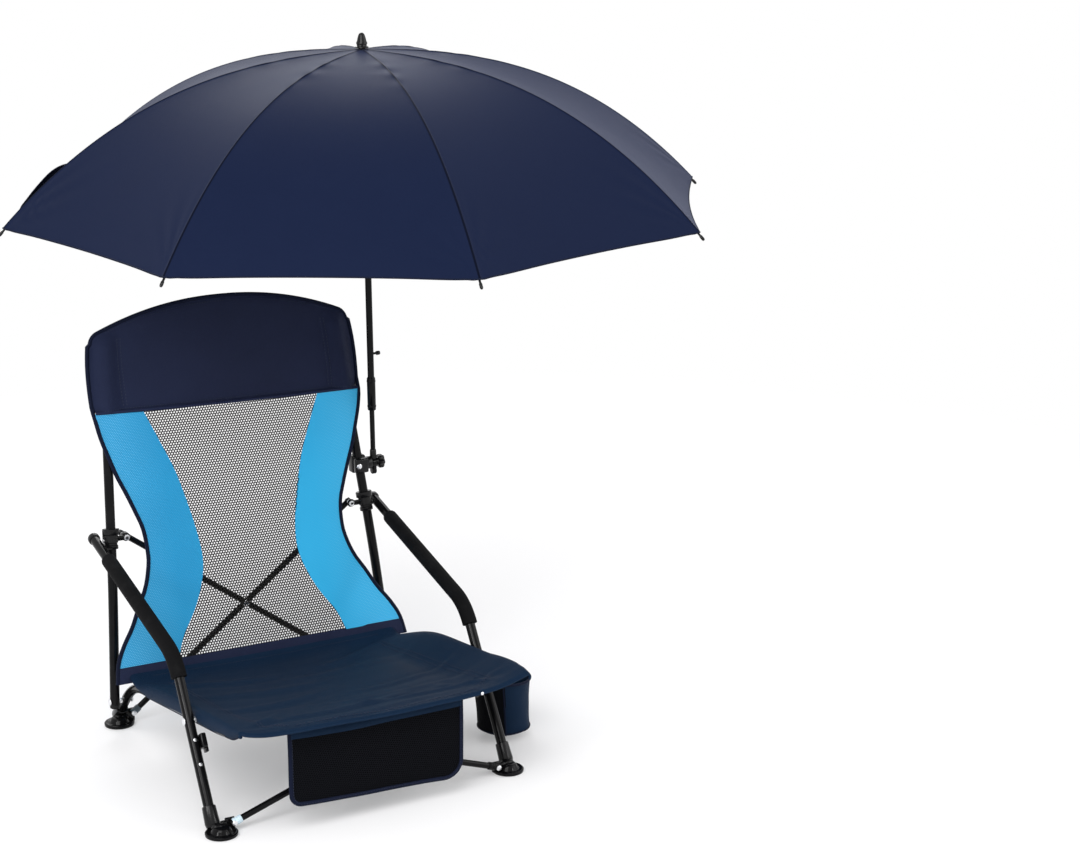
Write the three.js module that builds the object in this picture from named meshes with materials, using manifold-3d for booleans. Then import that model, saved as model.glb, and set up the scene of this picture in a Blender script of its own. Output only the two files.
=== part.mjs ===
// A low folding beach chair with a clamp-on umbrella.
// Millimetres, X to the sitter's left hand side seen from the front, Y backwards, Z up.
import * as THREE from "three";
import { mergeVertices } from "three/addons/utils/BufferGeometryUtils.js";
import Module from "manifold-3d";

const wasm = await Module();
wasm.setup();

// Driving sizes of the frame
const fitGap = 0.3;
const cutOverrun = 6;
const tubeRadius = 8;
const strutRadius = 5;
const foamRadius = 12;
const pinRadius = 2.5;
const pinHeadRadius = 6;
const pinHeadDepth = 2.2;

// Leg and arm, one bent tube on each side
const footSpan = 485;
const footTubeShift = 6.5;
const legLeanIn = 0.3;
const armFlare = 4.8;
const legFootX = footSpan / 2 + footTubeShift;
const legBendX = legFootX - legLeanIn;
const armEndX = legBendX + armFlare;
const legFootY = 20;
const legFootZ = 12;
const legBendY = 159;
const legBendZ = 232;
const armEndY = 516;
const armEndZ = 320;
const legBendTangent = 34;
const foamLead = 1;
const foamTopY = 451;
const foamTopZ = 304.2;
const armCapRadius = 10;
const armCapDepth = 9;

// Seat rail, one bent tube on each side
const pivotSpacer = 2.5;
const railX = legFootX - 2 * tubeRadius - pivotSpacer;
const railFootY = 507;
const railFootZ = 12;
const railBendY = 420.9;
const railBendZ = 93.4;
const railFrontY = -68;
const railSlopeShare = 0.1656;
const railBendTangent = 55;

// Back upright on each side
const uprightSpacer = 6;
const uprightLowX = railX + 2 * tubeRadius + uprightSpacer;
const uprightLeanShare = 0.0769;
const uprightLowY = 458.3;
const uprightLowZ = 30;
const uprightEndZ = 44;
const uprightLowSlopeShare = 0.13;
const uprightHighSlopeShare = 0.205;
const uprightBendZ = 250;
const uprightTopZ = 640;
const uprightBendTangent = 60;

// Pivots seen from the side
const legPivotY = 104;
const backPivotZ = 54;
const sliderZ = 322;
const sliderRadius = 11.5;
const sliderLength = 34;
const sliderCollarRadius = 14;
const sliderCollarShare = 0.3;

// Feet
const rearFootShift = 5.5;
const rearFootX = railX + rearFootShift;
const rearFootY = 489;
const footRadius = 25;
const footRimHeight = 5;
const footDomeRadius = 15;
const footDomeHeight = 13;
const footBossRadius = 11.2;
const footBossLength = 26;
const footStrutGap = 2.6;
const strutSideGap = 1;
const strutPinPlay = 0.5;
const footEarWidth = 16;
const footEarHeight = 20;
const footEarDepth = 6;

// Cross struts
const frontPinInset = 22;
const frontPinX = footSpan / 2 - frontPinInset;
const frontPinZ = 13;
const rearPinInset = 23;
const rearPinX = rearFootX - rearPinInset;
const rearPinZ = 19;
const strutPlaneGap = 0.9;
const rearStrutInset = 26.345;
const rearStrutTopX = uprightLowX - (sliderZ - uprightLowZ) * uprightLeanShare - rearStrutInset;
const rearStrutTopZ = 321;
const rearStrutBackset = 19;
const knuckleZ = 88;
const topPinClearance = 7;
const earThickness = 5;
const earWidth = 14;

// Stop bracket on the leg, under the rail
const bracketWidth = 26;
const bracketDepth = 9;
const bracketHeight = 44;
const bracketDrop = 10;

// Cloth
const clothThickness = 1.5;
const seatFrontY = -84;
const seatBackY = 415.9;
const seatSag = 24;
const seatLipShare = 0.4;
const seatFrontDrop = 6;
const seatHemDrop = 4;
const backLowZ = 104;
const backWaistZ = 281;
const headerLowZ = 519;
const sleeveMargin = 16.104;
const headerFlare = 5;
const waistInset = 57;
const flareInset = 18;
const lowFlare = 7;
const backWidthSeam = uprightLowX - (headerLowZ - uprightLowZ) * uprightLeanShare + sleeveMargin;
const backWidthTop = backWidthSeam;
const backWidthHeader = backWidthSeam + headerFlare;
const backWidthWaist = backWidthSeam - waistInset;
const backWidthFlare = backWidthSeam - flareInset;
const backWidthLow = backWidthSeam + lowFlare;
const backCornerZ = 650;
const backTopRise = 48;
const backPanelY = 417;
const backFlareZ = 160;
const backFlareY = 430;
const backBellyY = 468;
const backSeamY = 528;
const backCornerY = 556;
const headerPocketDepth = 36;
const pocketWidth = 285;
const pocketX = -13.5;
const pocketLowZ = 35;
const pocketTilt = 20;
const pocketY = -50;
const pocketDepth = 7;
const pocketRound = 14;
const cupRadius = 50;
const cupWall = 2;
const cupReach = 76.5;
const cupX = railX + cupReach;
const cupY = 140;
const cupLowZ = 11;
const cupTopZ = 104;
const cupTaperShare = 0.9;
const cupTabWidth = 14;
const cupTabLap = 12;
const cupTabReachShare = 0.93;

// Umbrella
const clampWidth = 25;
const clampDepth = 34;
const clampHeight = 31;
const clampZ = 386;
const clampReach = 15;
const screwRadius = 3.2;
const screwLength = 24;
const knobRadius = 11;
const knobDepth = 13;
const knobLobes = 6;
const knobLobeShare = 0.12;
const poleReach = 28.376;
const poleX = uprightLowX - (clampZ - uprightLowZ) * uprightLeanShare + poleReach;
const poleY = 515;
const poleForwardAngle = 0.044;
const poleSideAngle = 0.028;
const eyeRadius = 8.5;
const lowerPoleRadius = 4.4;
const lowerPoleLength = 330;
const poleEndWidth = 13;
const poleEndDrop = 22;
const poleTravel = 92;
const upperPoleRadius = 6;
const ferruleRadius = 7.4;
const ferruleRise = 96;
const ferruleLength = 58;
const crownHeight = 715;
const buttonHeight = 196;
const buttonRadius = 3.6;
const buttonLength = 7;
const buttonStand = 5;
const crownRadius = 12;
const crownDrop = 2.2;
const crownThickness = 4.4;
const crownNeckRadius = 5.5;
const crownNeckHeight = 6;
const finialRadius = 8;
const finialHeight = 25;
const ribCount = 8;
const ribRadius = 1.8;
const ribStartRadius = 13.1;
const canopyRadius = 594;
const canopyDrop = 248.4;
const canopyTurnAngle = 2.985;
const canopyThickness = 1.6;
const canopySlopeShare = 0.14;
const canopyCurlPower = 2.66;
const canopyLiftShare = 1.5;
const ribTipLength = 15;
const stretcherShare = 0.36;
const stretcherRadius = 1.5;
const runnerDrop = 170;
const runnerRadius = 12;
const runnerLength = 44;
const runnerFlange = 15;
const runnerFlangeDepth = 6;
const hemDip = 13;

// Facets
const tubeSides = 8;
const bendSteps = 6;
const roundSides = 16;
const thinSides = 6;

const steelBlack = { color: 0x17181a, roughness: 0.32, metalness: 0.6 };
const plasticBlack = { color: 0x121314, roughness: 0.55, metalness: 0 };
const foamBlack = { color: 0x1b1c1d, roughness: 0.95, metalness: 0 };
const rivetSteel = { color: 0xc9ccd0, roughness: 0.3, metalness: 0.9 };
const navyCloth = { color: 0x182440, roughness: 0.9, metalness: 0 };
const blueCloth = { color: 0x2f9bd6, roughness: 0.85, metalness: 0 };
const greyMesh = { color: 0xb9b4ac, roughness: 0.85, metalness: 0 };
const blackMesh = { color: 0x0e1013, roughness: 0.9, metalness: 0 };

const chair = new THREE.Group();

function vector(x, y, z) {
  return new THREE.Vector3(x, y, z);
}

function addPart(name, geometry, look, group = chair) {
  const mesh = new THREE.Mesh(geometry, new THREE.MeshStandardMaterial(look));
  mesh.name = name;
  group.add(mesh);
  return mesh;
}

// A closed tube with a ring at each point, hollow where it has a bore
function tubeThrough(points, radius, sides = tubeSides, boreRadius = 0) {
  const last = points.length - 1;
  const towards = (i) => points[i + 1].clone().sub(points[i]).normalize();
  const tangents = points.map((_, i) => {
    if (i === 0) return towards(0);
    if (i === last) return towards(last - 1);
    return towards(i - 1).add(towards(i)).normalize();
  });
  let normal = vector(1, 0, 0);
  if (Math.abs(tangents[0].x) > Math.SQRT1_2) normal = vector(0, 0, 1);
  const positions = [];
  const radii = boreRadius > 0 ? [radius, boreRadius] : [radius];
  const rings = radii.map(() => []);
  points.forEach((point, i) => {
    normal.addScaledVector(tangents[i], -normal.dot(tangents[i])).normalize();
    const other = tangents[i].clone().cross(normal);
    const spread = i > 0 && i < last ? 1 / towards(i).dot(tangents[i]) : 1;
    const bend = i > 0 && i < last ? towards(i).sub(towards(i - 1)) : vector(0, 0, 0);
    const bendWay = bend.lengthSq() > 0 ? bend.normalize() : bend;
    radii.forEach((r, k) => {
      const start = positions.length / 3;
      for (let j = 0; j < sides; j++) {
        const angle = (2 * Math.PI * (j + 1 / 2)) / sides;
        const offset = normal.clone().multiplyScalar(r * Math.cos(angle));
        offset.addScaledVector(other, r * Math.sin(angle));
        offset.addScaledVector(bendWay, offset.dot(bendWay) * (spread - 1));
        positions.push(point.x + offset.x, point.y + offset.y, point.z + offset.z);
      }
      rings[k].push(start);
    });
  });
  const index = [];
  const wall = (from, to, turn) => {
    for (let j = 0; j < sides; j++) {
      const next = (j + 1) % sides;
      const corners = [from + j, from + next, to + next, to + j];
      if (turn < 0) corners.reverse();
      index.push(corners[0], corners[1], corners[2], corners[0], corners[2], corners[3]);
    }
  };
  for (let i = 0; i < last; i++) {
    wall(rings[0][i], rings[0][i + 1], 1);
    if (boreRadius > 0) wall(rings[1][i], rings[1][i + 1], -1);
  }
  if (boreRadius > 0) {
    wall(rings[0][0], rings[1][0], -1);
    wall(rings[0][last], rings[1][last], 1);
  } else {
    for (let j = 1; j < sides - 1; j++) {
      index.push(rings[0][0], rings[0][0] + j + 1, rings[0][0] + j);
      index.push(rings[0][last], rings[0][last] + j, rings[0][last] + j + 1);
    }
  }
  const geometry = new THREE.BufferGeometry();
  geometry.setAttribute("position", new THREE.Float32BufferAttribute(positions, 3));
  geometry.setIndex(index);
  return geometry;
}

// Straight runs joined by one smooth corner of a given tangent length
function bentPoints(start, corner, end, tangent, steps) {
  const into = corner.clone().sub(start).normalize();
  const out = end.clone().sub(corner).normalize();
  const first = corner.clone().addScaledVector(into, -tangent);
  const last = corner.clone().addScaledVector(out, tangent);
  const bend = new THREE.QuadraticBezierCurve3(first, corner, last).getPoints(steps);
  return [start, ...bend, end];
}

// A lathe whose axis is turned from Z to a direction and moved to a point
function turned(profile, sides, at, direction) {
  const geometry = new THREE.LatheGeometry(
    profile.map(([r, h]) => new THREE.Vector2(r, h)),
    sides,
  );
  const turn = new THREE.Quaternion().setFromUnitVectors(vector(0, 1, 0), direction.clone().normalize());
  geometry.applyQuaternion(turn);
  return geometry.translate(at.x, at.y, at.z);
}

function rod(radius, from, to, sides = tubeSides) {
  const length = from.distanceTo(to);
  const profile = [[0, 0], [radius, 0], [radius, length], [0, length]];
  return turned(profile, sides, from, to.clone().sub(from));
}

// A tool for a bore whose flats clear a rod of the given radius
function boreTool(radius, from, to, sides = roundSides) {
  return rod((radius + fitGap) / Math.cos(Math.PI / sides), from, to, sides);
}

function block(width, depth, height, centre) {
  return new THREE.BoxGeometry(width, depth, height).translate(centre.x, centre.y, centre.z);
}

// Booleans on closed bodies
function toSolid(geometry) {
  const bare = geometry.index ? geometry.toNonIndexed() : geometry.clone();
  bare.deleteAttribute("normal");
  bare.deleteAttribute("uv");
  const merged = mergeVertices(bare);
  return new wasm.Manifold(
    new wasm.Mesh({
      numProp: 3,
      vertProperties: new Float32Array(merged.attributes.position.array),
      triVerts: new Uint32Array(merged.index.array),
    }),
  );
}

function toGeometry(solid) {
  const mesh = solid.getMesh();
  const geometry = new THREE.BufferGeometry();
  geometry.setAttribute("position", new THREE.BufferAttribute(mesh.vertProperties, 3));
  geometry.setIndex(new THREE.BufferAttribute(mesh.triVerts, 1));
  return geometry;
}

function joined(...geometries) {
  return toGeometry(geometries.map(toSolid).reduce((all, next) => all.add(next)));
}

function cut(geometry, ...tools) {
  return toGeometry(tools.map(toSolid).reduce((left, tool) => left.subtract(tool), toSolid(geometry)));
}

// A closed sheet from a grid of middle points and the way its thickness runs at each
function sheet(rows, columns, pointAt, wayAt, thickness) {
  const positions = [];
  for (const face of [1, -1]) {
    for (let i = 0; i <= rows; i++) {
      for (let j = 0; j <= columns; j++) {
        const point = pointAt(i / rows, j / columns);
        point.addScaledVector(wayAt(i / rows, j / columns), (face * thickness) / 2);
        positions.push(point.x, point.y, point.z);
      }
    }
  }
  const under = (rows + 1) * (columns + 1);
  const at = (i, j) => i * (columns + 1) + j;
  const index = [];
  const quad = (a, b, c, d) => index.push(a, b, c, a, c, d);
  for (let i = 0; i < rows; i++) {
    for (let j = 0; j < columns; j++) {
      quad(at(i, j), at(i, j + 1), at(i + 1, j + 1), at(i + 1, j));
      quad(under + at(i, j), under + at(i + 1, j), under + at(i + 1, j + 1), under + at(i, j + 1));
    }
  }
  for (let j = 0; j < columns; j++) {
    quad(at(0, j + 1), at(0, j), under + at(0, j), under + at(0, j + 1));
    quad(at(rows, j), at(rows, j + 1), under + at(rows, j + 1), under + at(rows, j));
  }
  for (let i = 0; i < rows; i++) {
    quad(at(i, 0), at(i + 1, 0), under + at(i + 1, 0), under + at(i, 0));
    quad(at(i + 1, columns), at(i, columns), under + at(i, columns), under + at(i + 1, columns));
  }
  const geometry = new THREE.BufferGeometry();
  geometry.setAttribute("position", new THREE.Float32BufferAttribute(positions, 3));
  geometry.setIndex(index);
  return geometry;
}

// Places on the frame, for the right side at 1 and the left side at -1
const railHeight = (y) => railBendZ + (railBendY - y) * railSlopeShare;
const legPivotZ = railHeight(legPivotY);
const legCorner = (side) => vector(side * legBendX, legBendY, legBendZ);
const legFoot = (side) => vector(side * legFootX, legFootY, legFootZ);
const armEnd = (side) => vector(side * armEndX, armEndY, armEndZ);
const railCorner = (side) => vector(side * railX, railBendY, railBendZ);
const railFoot = (side) => vector(side * railX, railFootY, railFootZ);
const railFront = (side) => vector(side * railX, railFrontY, railHeight(railFrontY));
const uprightBendY = uprightLowY + (uprightBendZ - uprightLowZ) * uprightLowSlopeShare;

function uprightAt(side, z) {
  const low = uprightLowY + (z - uprightLowZ) * uprightLowSlopeShare;
  const high = uprightBendY + (z - uprightBendZ) * uprightHighSlopeShare;
  return vector(side * (uprightLowX - (z - uprightLowZ) * uprightLeanShare), z < uprightBendZ ? low : high, z);
}

const uprightWay = (side) => vector(-side * uprightLeanShare, uprightHighSlopeShare, 1).normalize();

// A pin along X with a head at each end
function headedPin(side, fromX, toX, y, z) {
  const length = toX - fromX;
  const profile = [
    [0, -pinHeadDepth],
    [pinHeadRadius, -pinHeadDepth],
    [pinHeadRadius, 0],
    [pinRadius, 0],
    [pinRadius, length],
    [pinHeadRadius, length],
    [pinHeadRadius, length + pinHeadDepth],
    [0, length + pinHeadDepth],
  ];
  return turned(profile, tubeSides, vector(side * fromX, y, z), vector(side, 0, 0));
}

function crossBore(side, y, z) {
  const reach = legFootX + footRadius;
  return boreTool(pinRadius, vector(side * (railX - footRadius), y, z), vector(side * reach, y, z), tubeSides);
}

// Struts lie in two planes, one a tube behind the other
const strutStep = 2 * strutRadius + strutPlaneGap;
const slider = (side) => uprightAt(side, sliderZ);
const rearTopY = slider(1).y + rearStrutBackset;
const rearPinY = (side) => rearFootY + (side * strutStep) / 2;
const rearPin = (side) => vector(side * rearPinX, rearPinY(side), rearPinZ);
const rearTop = (side) =>
  vector(-side * rearStrutTopX, rearTopY + rearPinY(side) - rearFootY, rearStrutTopZ);
const frontPin = (side) => vector(side * frontPinX, (-side * strutStep) / 2, frontPinZ);
const knuckle = (side) => vector(0, frontPin(side).y, knuckleZ);

function makeFoot(side, name, centre, tubeStart, tubeWay, strutPin) {
  const pinX = Math.abs(strutPin.x);
  const pinY = strutPin.y;
  const pinZ = strutPin.z;
  const disc = turned(
    [
      [0, 0],
      [footRadius, 0],
      [footRadius, footRimHeight],
      [footDomeRadius, footDomeHeight],
      [0, footDomeHeight],
    ],
    roundSides,
    centre,
    vector(0, 0, 1),
  );
  const bossEnd = tubeStart.clone().addScaledVector(tubeWay, footBossLength);
  const boss = rod(footBossRadius, tubeStart.clone().addScaledVector(tubeWay, -tubeRadius / 2), bossEnd);
  const earCentre = vector(
    side * (pinX + footEarWidth / 2 - strutRadius),
    pinY + strutRadius + strutSideGap + footEarDepth / 2,
    (pinZ + strutRadius) / 2,
  );
  const ear = block(footEarWidth, footEarDepth, pinZ + strutRadius, earCentre);
  const pinBack = vector(side * pinX, earCentre.y, pinZ);
  const pinFront = vector(side * pinX, pinY - strutRadius - fitGap, pinZ);
  const pin = rod(pinRadius, pinBack, pinFront, thinSides);
  const floorCut = block(
    4 * footRadius,
    4 * footRadius,
    footRadius,
    vector(centre.x, centre.y, -footRadius / 2),
  );
  const socket = boreTool(
    tubeRadius,
    tubeStart.clone().addScaledVector(tubeWay, -fitGap),
    bossEnd.clone().addScaledVector(tubeWay, cutOverrun),
  );
  const clearStrut = block(
    footEarWidth + 2 * strutRadius,
    2 * strutRadius + 2 * strutSideGap,
    footEarHeight,
    vector(
      side * (pinX - strutRadius + fitGap),
      pinY,
      pinZ - strutRadius - footStrutGap + footEarHeight / 2,
    ),
  );
  const body = cut(joined(disc, boss, ear), floorCut, clearStrut);
  addPart(name, cut(joined(body, pin), socket), plasticBlack);
}

function makeSide(side, word) {
  // Leg and arm
  const legPath = bentPoints(legFoot(side), legCorner(side), armEnd(side), legBendTangent, bendSteps);
  const leg = tubeThrough(legPath, tubeRadius);
  addPart(`${word}_leg_arm_tube`, cut(leg, crossBore(side, legPivotY, legPivotZ)), steelBlack);
  const legWay = legCorner(side).sub(legFoot(side)).normalize();
  const armWay = armEnd(side).sub(legCorner(side)).normalize();
  const foamStart = legCorner(side).addScaledVector(legWay, -legBendTangent - foamLead);
  const foamReach = Math.hypot(foamTopY - legBendY, foamTopZ - legBendZ);
  const foamEnd = legCorner(side).addScaledVector(armWay, foamReach);
  const foamPath = bentPoints(foamStart, legCorner(side), foamEnd, legBendTangent, bendSteps);
  addPart(
    `${word}_arm_foam`,
    tubeThrough(foamPath, foamRadius, tubeSides, tubeRadius + 2 * fitGap),
    foamBlack,
  );
  const capStart = armEnd(side).addScaledVector(armWay, fitGap);
  addPart(
    `${word}_arm_end_cap`,
    rod(armCapRadius, capStart, capStart.clone().addScaledVector(armWay, armCapDepth)),
    plasticBlack,
  );

  // Rail
  const railPath = bentPoints(railFoot(side), railCorner(side), railFront(side), railBendTangent, bendSteps);
  const backPivot = uprightAt(side, backPivotZ);
  const rail = cut(
    tubeThrough(railPath, tubeRadius),
    crossBore(side, legPivotY, legPivotZ),
    crossBore(side, backPivot.y, backPivotZ),
  );
  addPart(`${word}_seat_rail`, rail, steelBlack);

  // Upright
  const uprightPath = bentPoints(
    uprightAt(side, uprightEndZ),
    uprightAt(side, uprightBendZ),
    uprightAt(side, uprightTopZ),
    uprightBendTangent,
    bendSteps,
  );
  const upright = tubeThrough(uprightPath, tubeRadius);
  addPart(`${word}_back_upright`, cut(upright, crossBore(side, backPivot.y, backPivotZ)), steelBlack);

  // Pins of the two frame pivots
  const pinStart = railX - tubeRadius - fitGap;
  addPart(
    `${word}_leg_pivot_pin`,
    headedPin(side, pinStart, legFootX + tubeRadius + fitGap, legPivotY, legPivotZ),
    rivetSteel,
  );
  addPart(
    `${word}_back_pivot_pin`,
    headedPin(side, pinStart, Math.abs(backPivot.x) + tubeRadius + fitGap, backPivot.y, backPivotZ),
    rivetSteel,
  );

  // Slider on the upright, with a boss for the arm and an ear for the rear strut
  const way = uprightWay(side);
  const middle = slider(side);
  const half = sliderLength / 2;
  const sleeve = rod(
    sliderRadius,
    middle.clone().addScaledVector(way, -half),
    middle.clone().addScaledVector(way, half),
    roundSides,
  );
  const collar = rod(
    sliderCollarRadius,
    middle.clone().addScaledVector(way, half * (1 - 2 * sliderCollarShare)),
    middle.clone().addScaledVector(way, half),
    roundSides,
  );
  const armInside = armEndX - tubeRadius - 2 * fitGap - pinHeadDepth;
  const boss = rod(
    pinHeadRadius,
    vector(middle.x, middle.y, sliderZ - pinHeadDepth),
    vector(side * armInside, middle.y, sliderZ - pinHeadDepth),
  );
  const strutY = rearTop(-side).y;
  const earBack = strutY - strutRadius - topPinClearance;
  const earCentre = vector(
    side * (rearStrutTopX + (Math.abs(middle.x) - rearStrutTopX) / 2),
    (middle.y + earBack) / 2,
    rearStrutTopZ,
  );
  const ear = block(
    Math.abs(middle.x) - rearStrutTopX + earWidth / 2,
    earThickness,
    earWidth,
    vector(earCentre.x, middle.y, rearStrutTopZ),
  );
  const earPost = block(
    earWidth,
    earBack - middle.y + earThickness / 2,
    earWidth,
    vector(side * rearStrutTopX, earCentre.y, rearStrutTopZ),
  );
  const bore = boreTool(
    tubeRadius,
    middle.clone().addScaledVector(way, -sliderLength),
    middle.clone().addScaledVector(way, sliderLength),
  );
  addPart(`${word}_slider`, cut(joined(sleeve, collar, boss, ear, earPost), bore), plasticBlack);

  // Bracket on the inside of the leg
  const bracketTop = legPivotZ - tubeRadius - bracketDrop;
  const lean = new THREE.Quaternion().setFromUnitVectors(vector(0, 0, 1), vector(0, legWay.y, legWay.z));
  const bracketX = legFootX - tubeRadius - fitGap - bracketDepth / 2;
  const bracketY = legPivotY - ((legPivotZ - bracketTop) * legWay.y) / legWay.z;
  const bracket = block(bracketDepth, bracketWidth, bracketHeight, vector(0, 0, 0))
    .applyQuaternion(lean)
    .translate(side * bracketX, bracketY, bracketTop);
  const aboveBracket = block(
    footSpan,
    footSpan,
    bracketHeight,
    vector(0, bracketY, bracketTop + bracketHeight / 2),
  );
  addPart(`${word}_leg_bracket`, cut(bracket, aboveBracket), plasticBlack);

  // Feet
  const footMiddle = vector((side * footSpan) / 2, 0, 0);
  makeFoot(side, `${word}_front_foot`, footMiddle, legFoot(side), legWay, frontPin(side));
  const railWay = railCorner(side).sub(railFoot(side)).normalize();
  makeFoot(
    side,
    `${word}_rear_foot`,
    vector(side * rearFootX, rearFootY, 0),
    railFoot(side),
    railWay,
    rearPin(side),
  );
}

function strutRod(low, high) {
  const way = high.clone().sub(low).normalize();
  const start = low.clone().addScaledVector(way, -pinRadius - strutRadius / 2);
  const end = high.clone().addScaledVector(way, pinRadius + strutRadius / 2);
  return rod(strutRadius, start, end);
}

function strutBore(at, play = 0) {
  const across = vector(0, strutStep, 0);
  return boreTool(pinRadius + play, at.clone().sub(across), at.clone().add(across), tubeSides);
}

// A strut bored loosely for its foot pin and for the pin that it carries in the middle
function makeStrut(name, low, high, joint) {
  addPart(name, cut(strutRod(low, high), strutBore(low, strutPinPlay), strutBore(joint)), steelBlack);
}

// The strut beside it, with the rivet's other head on its outer side
function makeHeadedStrut(name, low, high, joint, outward) {
  const headFace = vector(joint.x, joint.y + outward * (strutRadius + pinHeadDepth), joint.z);
  const head = rod(pinHeadRadius, joint, headFace);
  addPart(name, cut(joined(strutRod(low, high), head), strutBore(low, strutPinPlay)), steelBlack);
}

makeSide(1, "right");
makeSide(-1, "left");

const crossShare = rearPinX / (rearPinX + rearStrutTopX);
const middleOf = (side) => rearPin(side).lerp(rearTop(side), crossShare);
makeStrut("rear_strut_from_right", rearPin(1), rearTop(1), middleOf(1));
makeHeadedStrut("rear_strut_from_left", rearPin(-1), rearTop(-1), middleOf(-1), -1);
makeStrut("front_bar_right", frontPin(1), knuckle(1), knuckle(1));
makeHeadedStrut("front_bar_left", frontPin(-1), knuckle(-1), knuckle(-1), 1);

// Rivet in the middle of the struts: it is carried by the first and ends short of the second
function middlePin(name, at, outward) {
  const length = 2 * strutRadius + fitGap + strutPlaneGap / 2;
  const start = at.clone().add(vector(0, outward * (strutRadius + fitGap), 0));
  const profile = [
    [0, -pinHeadDepth],
    [pinHeadRadius, -pinHeadDepth],
    [pinHeadRadius, 0],
    [pinRadius, 0],
    [pinRadius, length],
    [0, length],
  ];
  addPart(name, turned(profile, tubeSides, start, vector(0, -outward, 0)), rivetSteel);
}

middlePin("rear_cross_pin", middleOf(1), 1);
middlePin("front_knuckle_pin", knuckle(1), -1);

// Seat cloth, hung between the rails and lipped over them
const railTop = tubeRadius + fitGap + clothThickness / 2;
const seatHalf = railX;
const lipAngle = Math.PI / 2 - Math.asin(seatLipShare);
const lipColumns = 3;
const seatColumns = 14;
const seatRows = 12;
const seatFrontRows = 2;
const seatTurnY = railFrontY - clothThickness;

// Middle line of the rail under the cloth, with a slight fall in front of its end
function seatBase(y) {
  const ahead = Math.max(0, seatTurnY - y) / (seatTurnY - seatFrontY);
  return railHeight(Math.max(y, seatTurnY)) - seatHemDrop * ahead;
}

// Height of the cloth between the rails, at a share across from -1 to 1
function seatHeight(across, y) {
  const frontShare = Math.max(0, 1 - (y - seatFrontY) / (legPivotY - seatFrontY));
  const backShare = Math.min(1, (seatBackY - y) / (seatBackY - legPivotY));
  const sag = seatSag * (1 - frontShare) * Math.sqrt(Math.max(0, backShare)) + seatFrontDrop * frontShare;
  const fold = Math.sin(across * 3 * Math.PI + y / footRadius) * clothThickness * (1 - across * across);
  return seatBase(y) + railTop - (1 - across * across) * sag + fold * Math.min(1 - frontShare, 2 * backShare);
}

function seatPoint(alongShare, acrossShare) {
  const steps = seatColumns + 2 * lipColumns;
  const step = acrossShare * steps;
  const row = alongShare * seatRows;
  const frontPart = seatFrontY + (row / seatFrontRows) * (seatTurnY - seatFrontY);
  const mainPart = seatTurnY + ((row - seatFrontRows) / (seatRows - seatFrontRows)) * (seatBackY - seatTurnY);
  const y = row < seatFrontRows ? frontPart : mainPart;
  const base = seatBase(y);
  if (step < lipColumns || step > steps - lipColumns) {
    const side = step < lipColumns ? -1 : 1;
    const share = side < 0 ? 1 - step / lipColumns : (step - steps + lipColumns) / lipColumns;
    const angle = share * lipAngle;
    return vector(side * (seatHalf + railTop * Math.sin(angle)), y, base + railTop * Math.cos(angle));
  }
  const across = ((step - lipColumns) / seatColumns) * 2 - 1;
  return vector(across * seatHalf, y, seatHeight(across, y));
}

function seatWay(alongShare, acrossShare) {
  const steps = seatColumns + 2 * lipColumns;
  const step = acrossShare * steps;
  if (step >= lipColumns && step <= steps - lipColumns) return vector(0, 0, 1);
  const side = step < lipColumns ? -1 : 1;
  const share = side < 0 ? 1 - step / lipColumns : (step - steps + lipColumns) / lipColumns;
  const angle = share * lipAngle;
  return vector(side * Math.sin(angle), 0, Math.cos(angle));
}

addPart(
  "seat_cloth",
  sheet(seatRows, seatColumns + 2 * lipColumns, seatPoint, seatWay, clothThickness),
  navyCloth,
);

// Back panel: its half width and its place in Y at each height
const backHeights = [backLowZ, backFlareZ, backWaistZ, headerLowZ, backCornerZ];
const backPlaces = [backPanelY, backFlareY, backBellyY, backSeamY, backCornerY];

function smoothThrough(heights, values, z) {
  const curve = new THREE.SplineCurve(heights.map((h, i) => new THREE.Vector2(h, values[i])));
  let low = 0;
  let high = 1;
  for (let i = 0; i < 24; i++) {
    const middle = (low + high) / 2;
    if (curve.getPoint(middle).x < z) low = middle;
    else high = middle;
  }
  return curve.getPoint((low + high) / 2).y;
}

const backY = (z) => smoothThrough(backHeights, backPlaces, Math.min(z, backCornerZ))
  + Math.max(0, z - backCornerZ) * uprightHighSlopeShare;

function backHalf(z) {
  return smoothThrough(
    [backLowZ, backFlareZ, backWaistZ, headerLowZ],
    [backWidthLow, backWidthFlare, backWidthWaist, backWidthSeam],
    z,
  );
}

const panelTopZ = headerLowZ - 2 * fitGap;

addPart(
  "back_panel_cloth",
  sheet(
    12,
    10,
    (up, across) => {
      const z = backLowZ + up * (panelTopZ - backLowZ);
      return vector((2 * across - 1) * backHalf(z), backY(z) + up * clothThickness, z);
    },
    () => vector(0, -1, 0),
    clothThickness,
  ),
  greyMesh,
);

// Header: a pocket sewn round the tops of both uprights
function headerShape() {
  const shape = new THREE.Shape();
  shape.moveTo(-backWidthSeam, headerLowZ);
  shape.lineTo(-backWidthHeader, (headerLowZ + backCornerZ) / 2);
  shape.lineTo(-backWidthTop, backCornerZ);
  const arcSteps = 10;
  for (let i = 1; i < arcSteps; i++) {
    const across = (2 * i) / arcSteps - 1;
    shape.lineTo(across * backWidthTop, backCornerZ + backTopRise * (1 - across * across));
  }
  shape.lineTo(backWidthTop, backCornerZ);
  shape.lineTo(backWidthHeader, (headerLowZ + backCornerZ) / 2);
  shape.lineTo(backWidthSeam, headerLowZ);
  return shape;
}

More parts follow.
